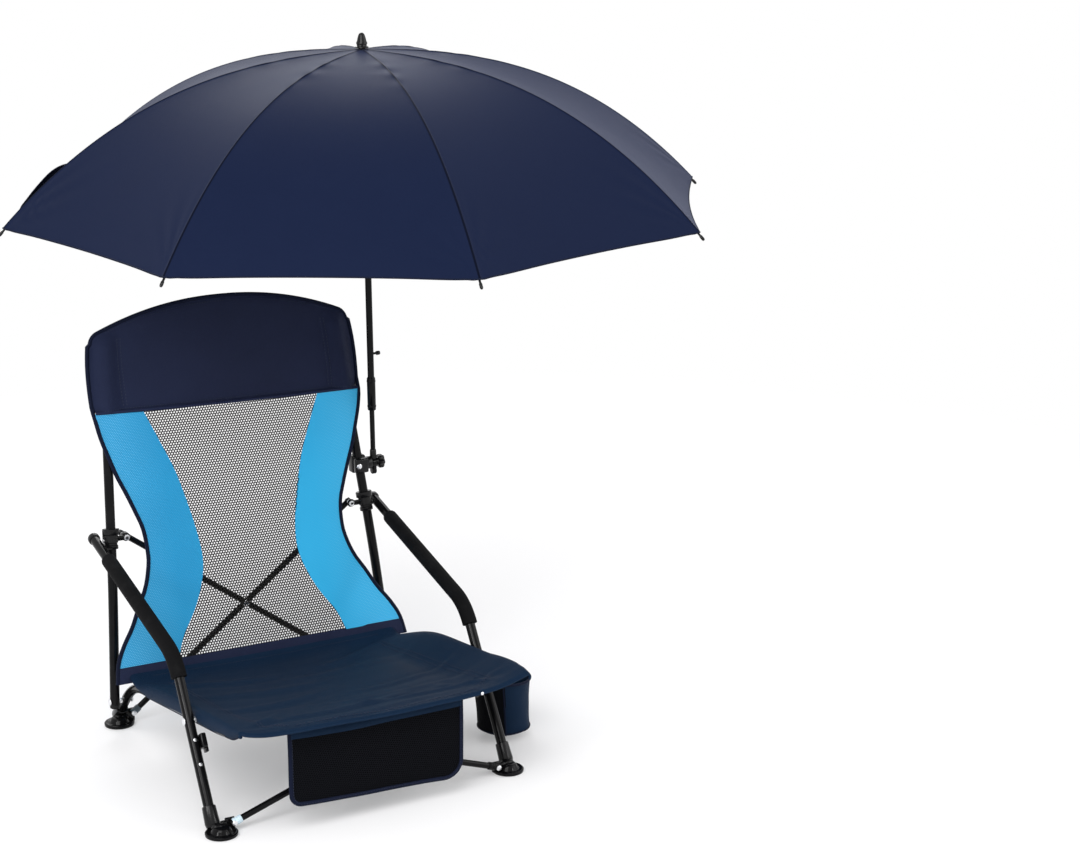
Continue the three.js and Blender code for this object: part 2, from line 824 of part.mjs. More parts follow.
// Local X, Y of the outline stand for X and the way up the leaning panel
function headerBody() {
  const rise = backCornerZ - headerLowZ;
  const lean = Math.atan2(backCornerY - backSeamY, rise);
  const geometry = new THREE.ExtrudeGeometry(headerShape(), { depth: headerPocketDepth, bevelEnabled: false });
  geometry.translate(0, -headerLowZ, -headerPocketDepth);
  geometry.rotateX(Math.PI / 2 - lean);
  geometry.translate(0, backSeamY, headerLowZ);
  return geometry;
}

function uprightSleeve(side) {
  const low = uprightAt(side, headerLowZ - 2 * cutOverrun);
  const high = uprightAt(side, uprightTopZ + 2 * fitGap);
  return boreTool(tubeRadius, low, high);
}

addPart("back_header_cloth", cut(headerBody(), uprightSleeve(1), uprightSleeve(-1)), navyCloth);

// Flat pocket that hangs from the seat's front edge
const pocketShape = new THREE.Shape();
const pocketHalf = pocketWidth / 2;
const pocketTop = (x) => seatHeight(x / seatHalf, pocketY) - clothThickness - 2 * fitGap;
const pocketLeft = pocketX - pocketHalf;
const pocketRight = pocketX + pocketHalf;
const pocketLeftZ = pocketLowZ + pocketTilt;
pocketShape.moveTo(pocketLeft, pocketTop(pocketLeft));
pocketShape.lineTo(pocketLeft, pocketLeftZ + pocketRound);
pocketShape.quadraticCurveTo(pocketLeft, pocketLeftZ, pocketLeft + pocketRound, pocketLeftZ);
pocketShape.lineTo(pocketRight - pocketRound, pocketLowZ);
pocketShape.quadraticCurveTo(pocketRight, pocketLowZ, pocketRight, pocketLowZ + pocketRound);
const pocketSteps = 8;
for (let i = 0; i < pocketSteps; i++) {
  const x = pocketX + pocketHalf * (1 - (2 * i) / pocketSteps);
  pocketShape.lineTo(x, pocketTop(x));
}
const pocketSolid = new THREE.ExtrudeGeometry(pocketShape, {
  depth: pocketDepth,
  bevelEnabled: false,
  curveSegments: 4,
});
pocketSolid.rotateX(Math.PI / 2);
pocketSolid.translate(0, pocketY + pocketDepth / 2, 0);
addPart("front_pocket", pocketSolid, blackMesh);

// Cup holder with a floor and an open mouth
const cupHeight = cupTopZ - cupLowZ;
const cupFloorRadius = cupRadius * cupTaperShare;
const cupPlace = vector(cupX, cupY, cupLowZ);
const upwards = vector(0, 0, 1);
const cone = (low, high, from, to) =>
  turned([[0, from], [low, from], [high, to], [0, to]], roundSides, cupPlace, upwards);
const railFlatX = railX + tubeRadius * Math.cos(Math.PI / tubeSides) + fitGap;
const cupTabTop = railHeight(cupY + cupTabWidth);
const cupTabLow = cupTopZ - cupTabLap;
const cupTab = block(
  cupX - cupRadius * cupTabReachShare - railFlatX,
  cupTabWidth,
  cupTabTop - cupTabLow,
  vector(
    (cupX - cupRadius * cupTabReachShare + railFlatX) / 2,
    cupY + cupTabWidth,
    (cupTabTop + cupTabLow) / 2,
  ),
);
const cupOutside = joined(cone(cupFloorRadius, cupRadius, 0, cupHeight), cupTab);
const cupInside = cone(cupFloorRadius - cupWall, cupRadius - cupWall, cupWall, cupHeight + fitGap);
addPart("cup_holder", cut(cupOutside, cupInside), navyCloth);

// Umbrella, in a group that leans with its pole; the group's origin is the clamp screw
const umbrella = new THREE.Group();
umbrella.position.set(poleX, poleY, clampZ);
umbrella.rotation.set(poleForwardAngle, -poleSideAngle, 0, "XYZ");
chair.add(umbrella);
const clampWay = uprightWay(1);
const clampMiddle = uprightAt(1, clampZ);
const clampOuterX = clampMiddle.x + clampWidth / 2;
const eyeFace = poleX - lowerPoleRadius - 2 * fitGap;

const clampBody = joined(
  block(clampWidth, clampDepth, clampHeight, clampMiddle),
  rod(knobRadius, vector(clampOuterX - fitGap, poleY, clampZ), vector(eyeFace, poleY, clampZ), roundSides),
  rod(
    screwRadius,
    vector(clampOuterX, poleY, clampZ),
    vector(eyeFace + screwLength, poleY, clampZ),
  ),
);
const clampBore = boreTool(
  tubeRadius,
  clampMiddle.clone().addScaledVector(clampWay, -clampHeight),
  clampMiddle.clone().addScaledVector(clampWay, clampHeight),
);
addPart("umbrella_clamp", cut(clampBody, clampBore), plasticBlack);

function knobShape() {
  const shape = new THREE.Shape();
  const points = [];
  const count = 3 * knobLobes;
  for (let i = 0; i < count; i++) {
    const angle = (2 * Math.PI * i) / count;
    const r = knobRadius * (1 + knobLobeShare * Math.cos(knobLobes * angle));
    points.push(new THREE.Vector2(r * Math.cos(angle), r * Math.sin(angle)));
  }
  shape.setFromPoints(points);
  return shape;
}

const knobX = poleX + lowerPoleRadius + 3 * fitGap;
const knob = new THREE.ExtrudeGeometry(knobShape(), { depth: knobDepth, bevelEnabled: false });
knob.rotateY(Math.PI / 2);
knob.translate(knobX, poleY, clampZ);
const knobBore = boreTool(
  screwRadius,
  vector(knobX - cutOverrun, poleY, clampZ),
  vector(eyeFace + screwLength + fitGap, poleY, clampZ),
);
addPart("clamp_knob", cut(knob, knobBore), plasticBlack);

// Poles stand on the umbrella's own axis
const eye = rod(eyeRadius, vector(-lowerPoleRadius, 0, 0), vector(lowerPoleRadius, 0, 0), roundSides);
const lowerPole = rod(lowerPoleRadius, vector(0, 0, 0), vector(0, 0, lowerPoleLength), tubeSides);
const poleEndZ = poleEndWidth / 2 - poleEndDrop;
const poleEnd = rod(
  poleEndWidth / 2,
  vector(-lowerPoleRadius, 0, poleEndZ),
  vector(lowerPoleRadius, 0, poleEndZ),
);
const poleShank = block(
  2 * lowerPoleRadius,
  poleEndWidth,
  eyeRadius - poleEndZ,
  vector(0, 0, (poleEndZ + eyeRadius) / 2),
);
const eyeBore = boreTool(screwRadius + 2 * fitGap, vector(-eyeRadius, 0, 0), vector(eyeRadius, 0, 0));
addPart("lower_pole", cut(joined(eye, lowerPole, poleEnd, poleShank), eyeBore), steelBlack, umbrella);

const poleTop = crownHeight - crownDrop - crownThickness - fitGap;
const poleBore = (lowerPoleRadius + fitGap) / Math.cos(Math.PI / tubeSides);
const boreTop = lowerPoleLength + poleTravel;
addPart(
  "upper_pole",
  turned(
    [
      [poleBore, ferruleRise],
      [ferruleRadius, ferruleRise],
      [ferruleRadius, ferruleRise + ferruleLength],
      [upperPoleRadius, ferruleRise + ferruleLength + tubeRadius / 4],
      [upperPoleRadius, poleTop],
      [0, poleTop],
      [0, boreTop],
      [poleBore, boreTop],
      [poleBore, ferruleRise],
    ],
    tubeSides,
    vector(0, 0, 0),
    vector(0, 0, 1),
  ),
  steelBlack,
  umbrella,
);

const buttonStart = upperPoleRadius + fitGap;
const runnerBore = (upperPoleRadius + fitGap) / Math.cos(Math.PI / roundSides);
addPart(
  "lock_button",
  turned(
    [
      [0, 0],
      [buttonRadius / 2, 0],
      [buttonRadius / 2, buttonStand],
      [buttonRadius, buttonStand],
      [buttonRadius, buttonStand + buttonLength],
      [0, buttonStand + buttonLength],
    ],
    tubeSides,
    vector(buttonStart, 0, buttonHeight),
    vector(1, 0, 0),
  ),
  plasticBlack,
  umbrella,
);

addPart(
  "crown",
  turned(
    [
      [0, -crownDrop - crownThickness],
      [crownRadius, -crownDrop - crownThickness],
      [crownRadius, -crownDrop],
      [crownNeckRadius, -crownDrop],
      [crownNeckRadius, crownNeckHeight],
      [finialRadius, crownNeckHeight],
      [finialRadius, crownNeckHeight + finialHeight / 3],
      [finialRadius / 2, crownNeckHeight + finialHeight],
      [0, crownNeckHeight + finialHeight],
    ],
    roundSides,
    vector(0, 0, crownHeight),
    vector(0, 0, 1),
  ),
  plasticBlack,
  umbrella,
);

addPart(
  "runner",
  turned(
    [
      [runnerBore, -runnerLength],
      [runnerRadius, -runnerLength],
      [runnerRadius, -runnerFlangeDepth],
      [runnerFlange, -runnerFlangeDepth],
      [runnerFlange, 0],
      [runnerBore, 0],
      [runnerBore, -runnerLength],
    ],
    roundSides,
    vector(0, 0, crownHeight - runnerDrop),
    vector(0, 0, 1),
  ),
  plasticBlack,
  umbrella,
);

// Fall of the canopy below the crown at a share of its radius
function fallAt(share) {
  const curled = canopySlopeShare * share + (1 - canopySlopeShare) * share ** canopyCurlPower;
  return canopyDrop * curled;
}

const ribHeightAt = (share) => crownHeight - fallAt(share);
const canopyRows = 7;
const canopyHole = crownNeckRadius + 2 * fitGap;
const rowRadius = (row) => canopyHole + (row / canopyRows) * (canopyRadius - canopyHole);

function ribPath(angle) {
  const radii = [ribStartRadius];
  for (let i = 1; i <= canopyRows; i++) radii.push(rowRadius(i));
  radii.push(canopyRadius + ribTipLength);
  return radii.map((r) => vector(r * Math.cos(angle), r * Math.sin(angle), ribHeightAt(r / canopyRadius)));
}

const besideStep = ribRadius + stretcherRadius + fitGap;
for (let i = 0; i < ribCount; i++) {
  const angle = canopyTurnAngle + (i * 2 * Math.PI) / ribCount;
  const label = i + 1;
  addPart(
    `rib_${label}`,
    tubeThrough(ribPath(angle), ribRadius, thinSides - 1),
    steelBlack,
    umbrella,
  );
  const aside = vector(-Math.sin(angle), Math.cos(angle), 0).multiplyScalar(besideStep);
  const low = vector(runnerFlange * Math.cos(angle), runnerFlange * Math.sin(angle), 0);
  low.multiplyScalar((runnerFlange + 3 * fitGap) / runnerFlange);
  low.setZ(crownHeight - runnerDrop - runnerFlangeDepth / 2);
  const joint = stretcherShare * canopyRadius;
  const high = vector(joint * Math.cos(angle), joint * Math.sin(angle), ribHeightAt(stretcherShare));
  addPart(
    `stretcher_${label}`,
    rod(stretcherRadius, low.add(aside), high.add(aside), thinSides - 1),
    steelBlack,
    umbrella,
  );
}

// Canopy: eight gores stretched straight from rib to rib, with a dipped hem
const goreSteps = 4;
const canopyLift = (ribRadius + fitGap + canopyThickness / 2) * canopyLiftShare;

function canopyPoint(outShare, roundShare) {
  const step = Math.round(roundShare * ribCount * goreSteps);
  const gore = Math.floor(step / goreSteps);
  const within = (step % goreSteps) / goreSteps;
  const r = rowRadius(outShare * canopyRows);
  const corner = (k) => {
    const angle = canopyTurnAngle + ((gore + k) * 2 * Math.PI) / ribCount;
    return vector(r * Math.cos(angle), r * Math.sin(angle), ribHeightAt(r / canopyRadius) + canopyLift);
  };
  const dip = 4 * within * (1 - within) * outShare ** 2;
  const point = corner(0).lerp(corner(1), within);
  const flat = Math.hypot(point.x, point.y);
  return point.multiply(vector(1 - (dip * hemDip) / flat, 1 - (dip * hemDip) / flat, 1));
}

function canopyGeometry() {
  const columns = ribCount * goreSteps;
  const rows = canopyRows;
  const positions = [];
  for (const face of [1, -1]) {
    for (let i = 0; i <= rows; i++) {
      for (let j = 0; j < columns; j++) {
        const point = canopyPoint(i / rows, j / columns);
        positions.push(point.x, point.y, point.z + (face * canopyThickness) / 2);
      }
    }
  }
  const under = (rows + 1) * columns;
  const at = (i, j) => i * columns + (j % columns);
  const index = [];
  const quad = (a, b, c, d) => index.push(a, b, c, a, c, d);
  for (let i = 0; i < rows; i++) {
    for (let j = 0; j < columns; j++) {
      quad(at(i, j), at(i + 1, j), at(i + 1, j + 1), at(i, j + 1));
      quad(under + at(i, j), under + at(i, j + 1), under + at(i + 1, j + 1), under + at(i + 1, j));
    }
  }
  for (let j = 0; j < columns; j++) {
    quad(at(0, j), at(0, j + 1), under + at(0, j + 1), under + at(0, j));
    quad(at(rows, j + 1), at(rows, j), under + at(rows, j), under + at(rows, j + 1));
  }
  const geometry = new THREE.BufferGeometry();
  geometry.setAttribute("position", new THREE.Float32BufferAttribute(positions, 3));
  geometry.setIndex(index);
  return geometry;
}

addPart("canopy_cloth", canopyGeometry(), navyCloth, umbrella);

// The origin is the middle of the whole object's box, on the floor
const part = new THREE.Group();
part.add(chair);
part.updateMatrixWorld(true);
const box = new THREE.Box3().setFromObject(chair, true);
chair.position.set(-(box.min.x + box.max.x) / 2, -(box.min.y + box.max.y) / 2, -box.min.z);
part.updateMatrixWorld(true);

export default part;
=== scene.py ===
import bpy
import bmesh
import math
from mathutils import Matrix, Vector, noise
from mathutils.kdtree import KDTree


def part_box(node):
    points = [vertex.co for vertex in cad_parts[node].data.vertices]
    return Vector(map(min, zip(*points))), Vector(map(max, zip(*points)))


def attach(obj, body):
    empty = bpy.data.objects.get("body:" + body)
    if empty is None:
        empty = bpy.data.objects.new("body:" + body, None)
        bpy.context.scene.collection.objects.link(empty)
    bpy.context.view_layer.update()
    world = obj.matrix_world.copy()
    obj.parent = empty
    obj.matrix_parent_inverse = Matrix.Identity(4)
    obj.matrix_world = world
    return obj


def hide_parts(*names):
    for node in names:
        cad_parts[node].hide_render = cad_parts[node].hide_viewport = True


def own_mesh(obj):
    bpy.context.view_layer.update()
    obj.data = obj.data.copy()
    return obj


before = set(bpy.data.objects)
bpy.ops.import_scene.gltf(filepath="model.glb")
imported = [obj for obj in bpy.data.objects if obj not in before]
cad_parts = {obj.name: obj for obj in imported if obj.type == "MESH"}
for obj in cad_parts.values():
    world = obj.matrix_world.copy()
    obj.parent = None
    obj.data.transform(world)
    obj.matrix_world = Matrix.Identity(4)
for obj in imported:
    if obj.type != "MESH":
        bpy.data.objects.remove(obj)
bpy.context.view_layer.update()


def frameOffset():
    # the chair's own origin lies midway between the front feet
    footRadius = 0.025
    rightLow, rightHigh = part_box("right_front_foot")
    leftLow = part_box("left_front_foot")[0]
    return Vector(((rightHigh[0] + leftLow[0]) / 2, rightLow[1] + footRadius, 0))


offset = frameOffset()


def spot(x, y, z):
    return Vector((x, y, z)) + offset


# shader maths written as expressions

class Wire:
    def __init__(self, tree, socket):
        self.tree = tree
        self.socket = socket

    def maths(self, operation, first, second=None):
        values = [first] if second is None else [first, second]
        return makeNode(self.tree, "ShaderNodeMath", {"operation": operation}, dict(enumerate(values)))

    def __add__(self, other): return self.maths("ADD", self, other)
    def __radd__(self, other): return self.maths("ADD", other, self)
    def __sub__(self, other): return self.maths("SUBTRACT", self, other)
    def __mul__(self, other): return self.maths("MULTIPLY", self, other)
    def __rmul__(self, other): return self.maths("MULTIPLY", other, self)
    def __truediv__(self, other): return self.maths("DIVIDE", self, other)
    def sine(self): return self.maths("SINE", self)
    def fraction(self): return self.maths("FRACT", self)
    def absolute(self): return self.maths("ABSOLUTE", self)
    def root(self): return self.maths("SQRT", self)
    def least(self, other): return self.maths("MINIMUM", self, other)
    def most(self, other): return self.maths("MAXIMUM", self, other)


def makeNode(tree, kind, settings=None, inputs=None, output=0):
    node = tree.nodes.new(kind)
    for key, value in (settings or {}).items():
        setattr(node, key, value)
    for key, value in (inputs or {}).items():
        target = node.inputs[key]
        if isinstance(value, Wire):
            tree.links.new(value.socket, target)
        else:
            target.default_value = value
    return Wire(tree, node.outputs[output])


def startMaterial(name, fixed):
    material = bpy.data.materials.new(name)
    material.use_nodes = True
    tree = material.node_tree
    shader = tree.nodes["Principled BSDF"]
    for key, value in fixed.items():
        shader.inputs[key].default_value = value
    return material, tree, shader


def feed(tree, shader, **wires):
    names = {"color": "Base Color", "roughness": "Roughness", "alpha": "Alpha", "normal": "Normal"}
    for key, wire in wires.items():
        tree.links.new(wire.socket, shader.inputs[names[key]])


def rgba(color):
    return (*color, 1.0)


def mixColors(tree, share, first, second):
    inputs = {0: share, 6: first if isinstance(first, Wire) else rgba(first)}
    inputs[7] = second if isinstance(second, Wire) else rgba(second)
    return makeNode(tree, "ShaderNodeMix", {"data_type": "RGBA"}, inputs, 2)


def mapRange(tree, inputs):
    # value, from low and high, to low and high
    return makeNode(tree, "ShaderNodeMapRange", None, inputs)


def objectPoint(tree):
    return makeNode(tree, "ShaderNodeTexCoord", output=3)


def clothPoint(tree):
    point = makeNode(tree, "ShaderNodeUVMap", {"uv_map": "cloth"})
    return [makeNode(tree, "ShaderNodeSeparateXYZ", None, {0: point}, k) for k in (0, 1)] + [point]


def noiseWire(tree, point, scale, detail=2.0, roughness=0.5):
    inputs = {"Vector": point, "Scale": scale, "Detail": detail, "Roughness": roughness}
    return makeNode(tree, "ShaderNodeTexNoise", None, inputs, 0)


def bumpWire(tree, height, distance, strength=1.0, below=None):
    inputs = {"Strength": strength, "Distance": distance, "Height": height}
    if below is not None:
        inputs["Normal"] = below
    return makeNode(tree, "ShaderNodeBump", None, inputs)


def latticeWire(u, v, pitch):
    # distance to the nearest point of a lattice of staggered rows, as a share of the pitch
    row = pitch * 0.866

    def distance(shift):
        a = (u / pitch + shift).fraction() - 0.5
        b = (v / (2 * row) + shift).fraction() - 0.5
        return (a * a + b * b * 3.0).root()

    return distance(0.0).least(distance(0.5))


hardFinishes = {
    "paintedSteel": {"color": (0.0035, 0.0035, 0.004), "worn": (0.007, 0.007, 0.0078), "rough": 0.12,
        "spread": 0.08, "grain": 700, "depth": 0.00002, "metal": 0.0, "spec": 0.12},
    "mouldedPlastic": {"color": (0.004, 0.004, 0.0045), "worn": (0.009, 0.009, 0.0098), "rough": 0.2,
        "spread": 0.12, "grain": 1600, "depth": 0.00003, "metal": 0.0, "spec": 0.22},
    "gripFoam": {"color": (0.0045, 0.0045, 0.005), "worn": (0.01, 0.01, 0.0108), "rough": 0.8,
        "spread": 0.12, "grain": 1300, "depth": 0.00022, "metal": 0.0, "spec": 0.07},
    "rivetMetal": {"color": (0.8, 0.81, 0.83), "worn": (0.55, 0.55, 0.57), "rough": 0.26, "spread": 0.2,
        "grain": 900, "depth": 0.00003, "metal": 0.9, "spec": 0.5},
    "greyBush": {"color": (0.075, 0.105, 0.125), "worn": (0.03, 0.045, 0.055), "rough": 0.3, "spread": 0.15,
        "grain": 600, "depth": 0.00008, "metal": 0.0, "spec": 0.4},
    "paleBush": {"color": (0.55, 0.68, 0.76), "worn": (0.36, 0.46, 0.54), "rough": 0.3, "spread": 0.15,
        "grain": 600, "depth": 0.00008, "metal": 0.0, "spec": 0.5},
}


def hardMaterial(name):
    s = hardFinishes[name]
    material, tree, shader = startMaterial(name, {"Metallic": s["metal"], "Specular IOR Level": s["spec"]})
    point = objectPoint(tree)
    patches = noiseWire(tree, point, 38, 4, 0.6)
    fine = noiseWire(tree, point, s["grain"], 2)
    worn = mapRange(tree, {0: patches, 1: 0.5, 2: 0.8, 3: 0.0, 4: 1.0})
    feed(tree, shader, color=mixColors(tree, worn, s["color"], s["worn"]),
         roughness=s["rough"] + s["spread"] * (patches - 0.35),
         normal=bumpWire(tree, fine, s["depth"]))
    return material


clothFinishes = {
    "headerCloth": {"color": (0.0058, 0.0092, 0.028), "light": (0.016, 0.0225, 0.059), "pitch": 0.0012,
        "depth": 0.0003, "rough": 0.58, "spec": 0.11, "sheen": 0.03, "crumple": 0.0018, "patches": 0.5},
    "seatCloth": {"color": (0.003, 0.012, 0.03), "light": (0.0085, 0.0215, 0.049), "pitch": 0.0011,
        "depth": 0.00016, "rough": 0.55, "spec": 0.045, "sheen": 0.008, "crumple": 0.0012, "patches": 0.2},
    "bindingTape": {"color": (0.0036, 0.0058, 0.0175), "light": (0.0075, 0.0105, 0.026), "pitch": 0.0009,
        "depth": 0.00022, "rough": 0.62, "spec": 0.06, "sheen": 0.02, "crumple": 0.0008, "patches": 0.5},
    "canopyCloth": {"color": (0.005, 0.009, 0.029), "light": (0.008, 0.0135, 0.039), "pitch": 0.0009,
        "depth": 0.00003, "rough": 0.5, "spec": 0.02, "sheen": 0.09, "crumple": 0.0, "patches": 0.4,
        "seam": 0.0013},
    "sewingThread": {"color": (0.016, 0.021, 0.043), "light": (0.04, 0.048, 0.08), "pitch": 0.0006,
        "depth": 0.0001, "rough": 0.6, "spec": 0.12, "sheen": 0.03, "crumple": 0.0, "patches": 0.5},
}


def clothMaterial(name):
    s = clothFinishes[name]
    fixed = {"Sheen Weight": s["sheen"], "Sheen Roughness": 0.4, "Sheen Tint": (0.62, 0.68, 1.0, 1.0),
        "Specular IOR Level": s["spec"]}
    material, tree, shader = startMaterial(name, fixed)
    u, v, point = clothPoint(tree)
    turn = 2 * math.pi / s["pitch"]
    weave = (u * turn).sine() * (v * turn).sine() * 0.5 + 0.5
    slubs = noiseWire(tree, point, 260, 3, 0.6)
    patches = noiseWire(tree, objectPoint(tree), 9, 3, 0.55)
    share = weave * 0.35 + slubs * 0.4 + patches * s["patches"] + 0.1 - 0.5 * s["patches"]
    creased = (bumpWire(tree, noiseWire(tree, objectPoint(tree), 14, 2, 0.45), s["crumple"])
               if s["crumple"] else None)
    tone = mixColors(tree, share, s["color"], s["light"])
    if "seam" in s:
        # dark line of the seam over each rib
        near = mapRange(tree, {0: u.absolute(), 1: s["seam"], 2: 2 * s["seam"], 3: 1.0, 4: 0.0})
        tone = mixColors(tree, near * 0.75, tone, (0.001, 0.0014, 0.004))
    feed(tree, shader, color=tone, roughness=s["rough"] + 0.1 * (patches - 0.5),
         normal=bumpWire(tree, weave + slubs * 0.6, s["depth"], 1.0, creased))
    return material


# knitted cloth of the side panels, with rows of fine pale dimples
# the left colours are the same blue painted darker, as painted shade for the left panel
sideCloth = {"color": (0.013, 0.325, 0.635), "light": (0.025, 0.415, 0.735),
    "leftShadedColor": (0.007, 0.205, 0.435), "leftShadedLight": (0.016, 0.28, 0.53), "pale": (0.26, 0.62, 0.84),
    "pitch": 0.0029, "dot": 0.26}


def dottedMaterial(name):
    s = sideCloth
    material, tree, shader = startMaterial(name, {"Specular IOR Level": 0.12, "Sheen Weight": 0.03})
    u, v, point = clothPoint(tree)
    nearest = latticeWire(u, v, s["pitch"])
    dots = mapRange(tree, {0: nearest, 1: s["dot"] - 0.08, 2: s["dot"] + 0.08, 3: 1.0, 4: 0.0})
    yarn = noiseWire(tree, point, 700, 3, 0.6)
    patches = noiseWire(tree, objectPoint(tree), 6, 2, 0.5)
    dye = yarn * 0.4 + patches * 0.7 - 0.05
    # the left panel is painted a deeper blue: painted shade that holds down the stronger light falling on
    # it
    side = mapRange(tree, {0: u, 1: -0.1, 2: 0.1, 3: 0.0, 4: 1.0})
    plain = mixColors(tree, side, mixColors(tree, dye, s["leftShadedColor"], s["leftShadedLight"]),
        mixColors(tree, dye, s["color"], s["light"]))
    # the dimples show most towards the outer edges of the panels, where the cloth is stretched
    stretched = mapRange(tree, {0: u.absolute(), 1: 0.13, 2: 0.21, 3: 0.12, 4: 0.5})
    feed(tree, shader, color=mixColors(tree, dots * stretched, plain, s["pale"]),
        roughness=0.55 + 0.1 * (patches - 0.5), normal=bumpWire(tree, nearest.least(0.4) + yarn * 0.15,
        0.0004))
    return material


netFinishes = {
    "backNet": {"color": (0.005, 0.0048, 0.005), "light": (0.018, 0.0172, 0.017), "pitch": 0.0047,
        "hole": 0.335, "open": True},
    "pocketNet": {"color": (0.0004, 0.0005, 0.001), "light": (0.0125, 0.0133, 0.017), "pitch": 0.0038,
        "hole": 0.3, "open": False},
}


def netMaterial(name):
    s = netFinishes[name]
    material, tree, shader = startMaterial(name, {"Specular IOR Level": 0.08 if s["open"] else 0.02})
    u, v, point = clothPoint(tree)
    nearest = latticeWire(u, v, s["pitch"])
    yarn = noiseWire(tree, point, 900, 3)
    alpha = mapRange(tree, {0: nearest, 1: s["hole"] - 0.03, 2: s["hole"] + 0.03, 3: 0.0, 4: 1.0})
    share = alpha * (yarn * 0.6 + 0.1) if not s["open"] else yarn * 0.7
    roundYarn = nearest.least(0.5)
    feed(tree, shader, color=mixColors(tree, share, s["color"], s["light"]),
        roughness=0.62 + 0.2 * (yarn - 0.5), normal=bumpWire(tree, roundYarn + yarn * 0.15, 0.0012))
    if s["open"]:
        feed(tree, shader, alpha=alpha)
    return material


finish = {name: hardMaterial(name) for name in hardFinishes}
finish.update({name: clothMaterial(name) for name in clothFinishes})
finish.update({name: netMaterial(name) for name in netFinishes})
finish["blueCloth"] = dottedMaterial("blueCloth")
print("materials made:", len(finish))


# making pieces


def addObject(name, data):
    made = bpy.data.objects.new(name, data)
    bpy.context.collection.objects.link(made)
    return made


def settle(bm, name, materials, body, stands=(), sharpAngle=40):
    # a finished mesh becomes a piece that follows its body and stands for nodes of the frame
    mesh = bpy.data.meshes.new(name)
    bm.to_mesh(mesh)
    bm.free()
    for material in materials:
        mesh.materials.append(finish[material])
    mesh.polygons.foreach_set("use_smooth", [True] * len(mesh.polygons))
    mesh.set_sharp_from_angle(angle=math.radians(sharpAngle))
    piece = addObject(name, mesh)
    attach(piece, body)
    if stands:
        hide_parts(*stands)
    return piece


def sweep(bm, points, radius, sides=20, radii=None, squeeze=None, material=0, closed=True):
    # a circle is carried along the points by extruding its edges
    points = [Vector(p) for p in points]
    ways = [(b - a).normalized() for a, b in zip(points, points[1:])]
    ways = [ways[0]] + [(a + b).normalized() for a, b in zip(ways, ways[1:])] + [ways[-1]]
    radii = radii or [radius] * len(points)
    ring = bmesh.ops.create_circle(bm, cap_ends=False, radius=radii[0], segments=sides)["verts"]
    turn = Vector((0, 0, 1)).rotation_difference(ways[0]).to_matrix()
    if squeeze:
        bmesh.ops.scale(bm, verts=ring, vec=(1, squeeze, 1))
    bmesh.ops.rotate(bm, verts=ring, cent=(0, 0, 0), matrix=turn)
    bmesh.ops.translate(bm, verts=ring, vec=points[0])
    firstRing = list(ring)
    edges = list({e for v in ring for e in v.link_edges})
    made = list(ring)
    for k in range(1, len(points)):
        out = bmesh.ops.extrude_edge_only(bm, edges=edges)["geom"]
        ring = [g for g in out if isinstance(g, bmesh.types.BMVert)]
        edges = [g for g in out if isinstance(g, bmesh.types.BMEdge)]
        turn = ways[k - 1].rotation_difference(ways[k]).to_matrix()
        bmesh.ops.rotate(bm, verts=ring, cent=points[k - 1], matrix=turn)
        bmesh.ops.translate(bm, verts=ring, vec=points[k] - points[k - 1])
        if radii[k] != radii[k - 1]:
            share = radii[k] / radii[k - 1]
            space = Matrix.Translation(-points[k])
            bmesh.ops.scale(bm, verts=ring, vec=(share, share, share), space=space)
        made += ring
    if closed:
        for loop in (firstRing, ring):
            bmesh.ops.contextual_create(bm, geom=loop)
    faces = list({f for v in made for f in v.link_faces})
    for f in faces:
        f.material_index = material
    bmesh.ops.recalc_face_normals(bm, faces=faces)
    return made


def turnProfile(bm, profile, at, way, steps=32, material=0):
    # a profile of (radius, height) is spun about the way it stands
    way = Vector(way).normalized()
    turn = Vector((0, 0, 1)).rotation_difference(way).to_matrix().to_4x4()
    place = Matrix.Translation(at) @ turn
    verts = [bm.verts.new(place @ Vector((r, 0, h))) for r, h in profile]
    edges = [bm.edges.new(pair) for pair in zip(verts, verts[1:])]
    out = bmesh.ops.spin(bm, geom=verts + edges, cent=at, axis=way, angle=2 * math.pi, steps=steps,
        use_merge=True)
    made = set(verts) | {g for g in out["geom_last"] if isinstance(g, bmesh.types.BMVert)}
    grown = set(made)
    stack = list(made)
    while stack:
        for e in stack.pop().link_edges:
            for v in e.verts:
                if v not in grown:
                    grown.add(v)
                    stack.append(v)
    bmesh.ops.remove_doubles(bm, verts=list(grown), dist=1e-6)
    grown = [v for v in grown if v.is_valid]
    faces = list({f for v in grown for f in v.link_faces})
    for f in faces:
        f.material_index = material
    bmesh.ops.recalc_face_normals(bm, faces=faces)
    return grown


def softBlock(bm, size, centre, turn=None, bevel=0.0015, material=0):
    made = bmesh.ops.create_cube(bm, size=1)["verts"]
    bmesh.ops.scale(bm, verts=made, vec=size)
    faces = list({f for v in made for f in v.link_faces})
    edges = list({e for v in made for e in v.link_edges})
    out = bmesh.ops.bevel(bm, geom=edges, offset=bevel, segments=3, profile=0.5, affect="EDGES",
        material=-1)
    verts = list({v for f in out["faces"] for v in f.verts} | {v for f in faces if f.is_valid
        for v in f.verts})
    if turn is not None:
        bmesh.ops.rotate(bm, verts=verts, cent=(0, 0, 0), matrix=turn)
    bmesh.ops.translate(bm, verts=verts, vec=centre)
    for f in {f for v in verts for f in v.link_faces}:
        f.material_index = material
    return verts


def domeHead(bm, at, way, radius, height, material=0):
    profile = [(0, height)]
    for k in range(1, 7):
        a = k * math.pi / 12
        profile.append((radius * math.sin(a), height * (0.25 + 0.75 * math.cos(a))))
    profile += [(radius, 0.0), (radius * 0.98, -height * 0.1), (0, -height * 0.1)]
    return turnProfile(bm, profile, at, way, 20, material)


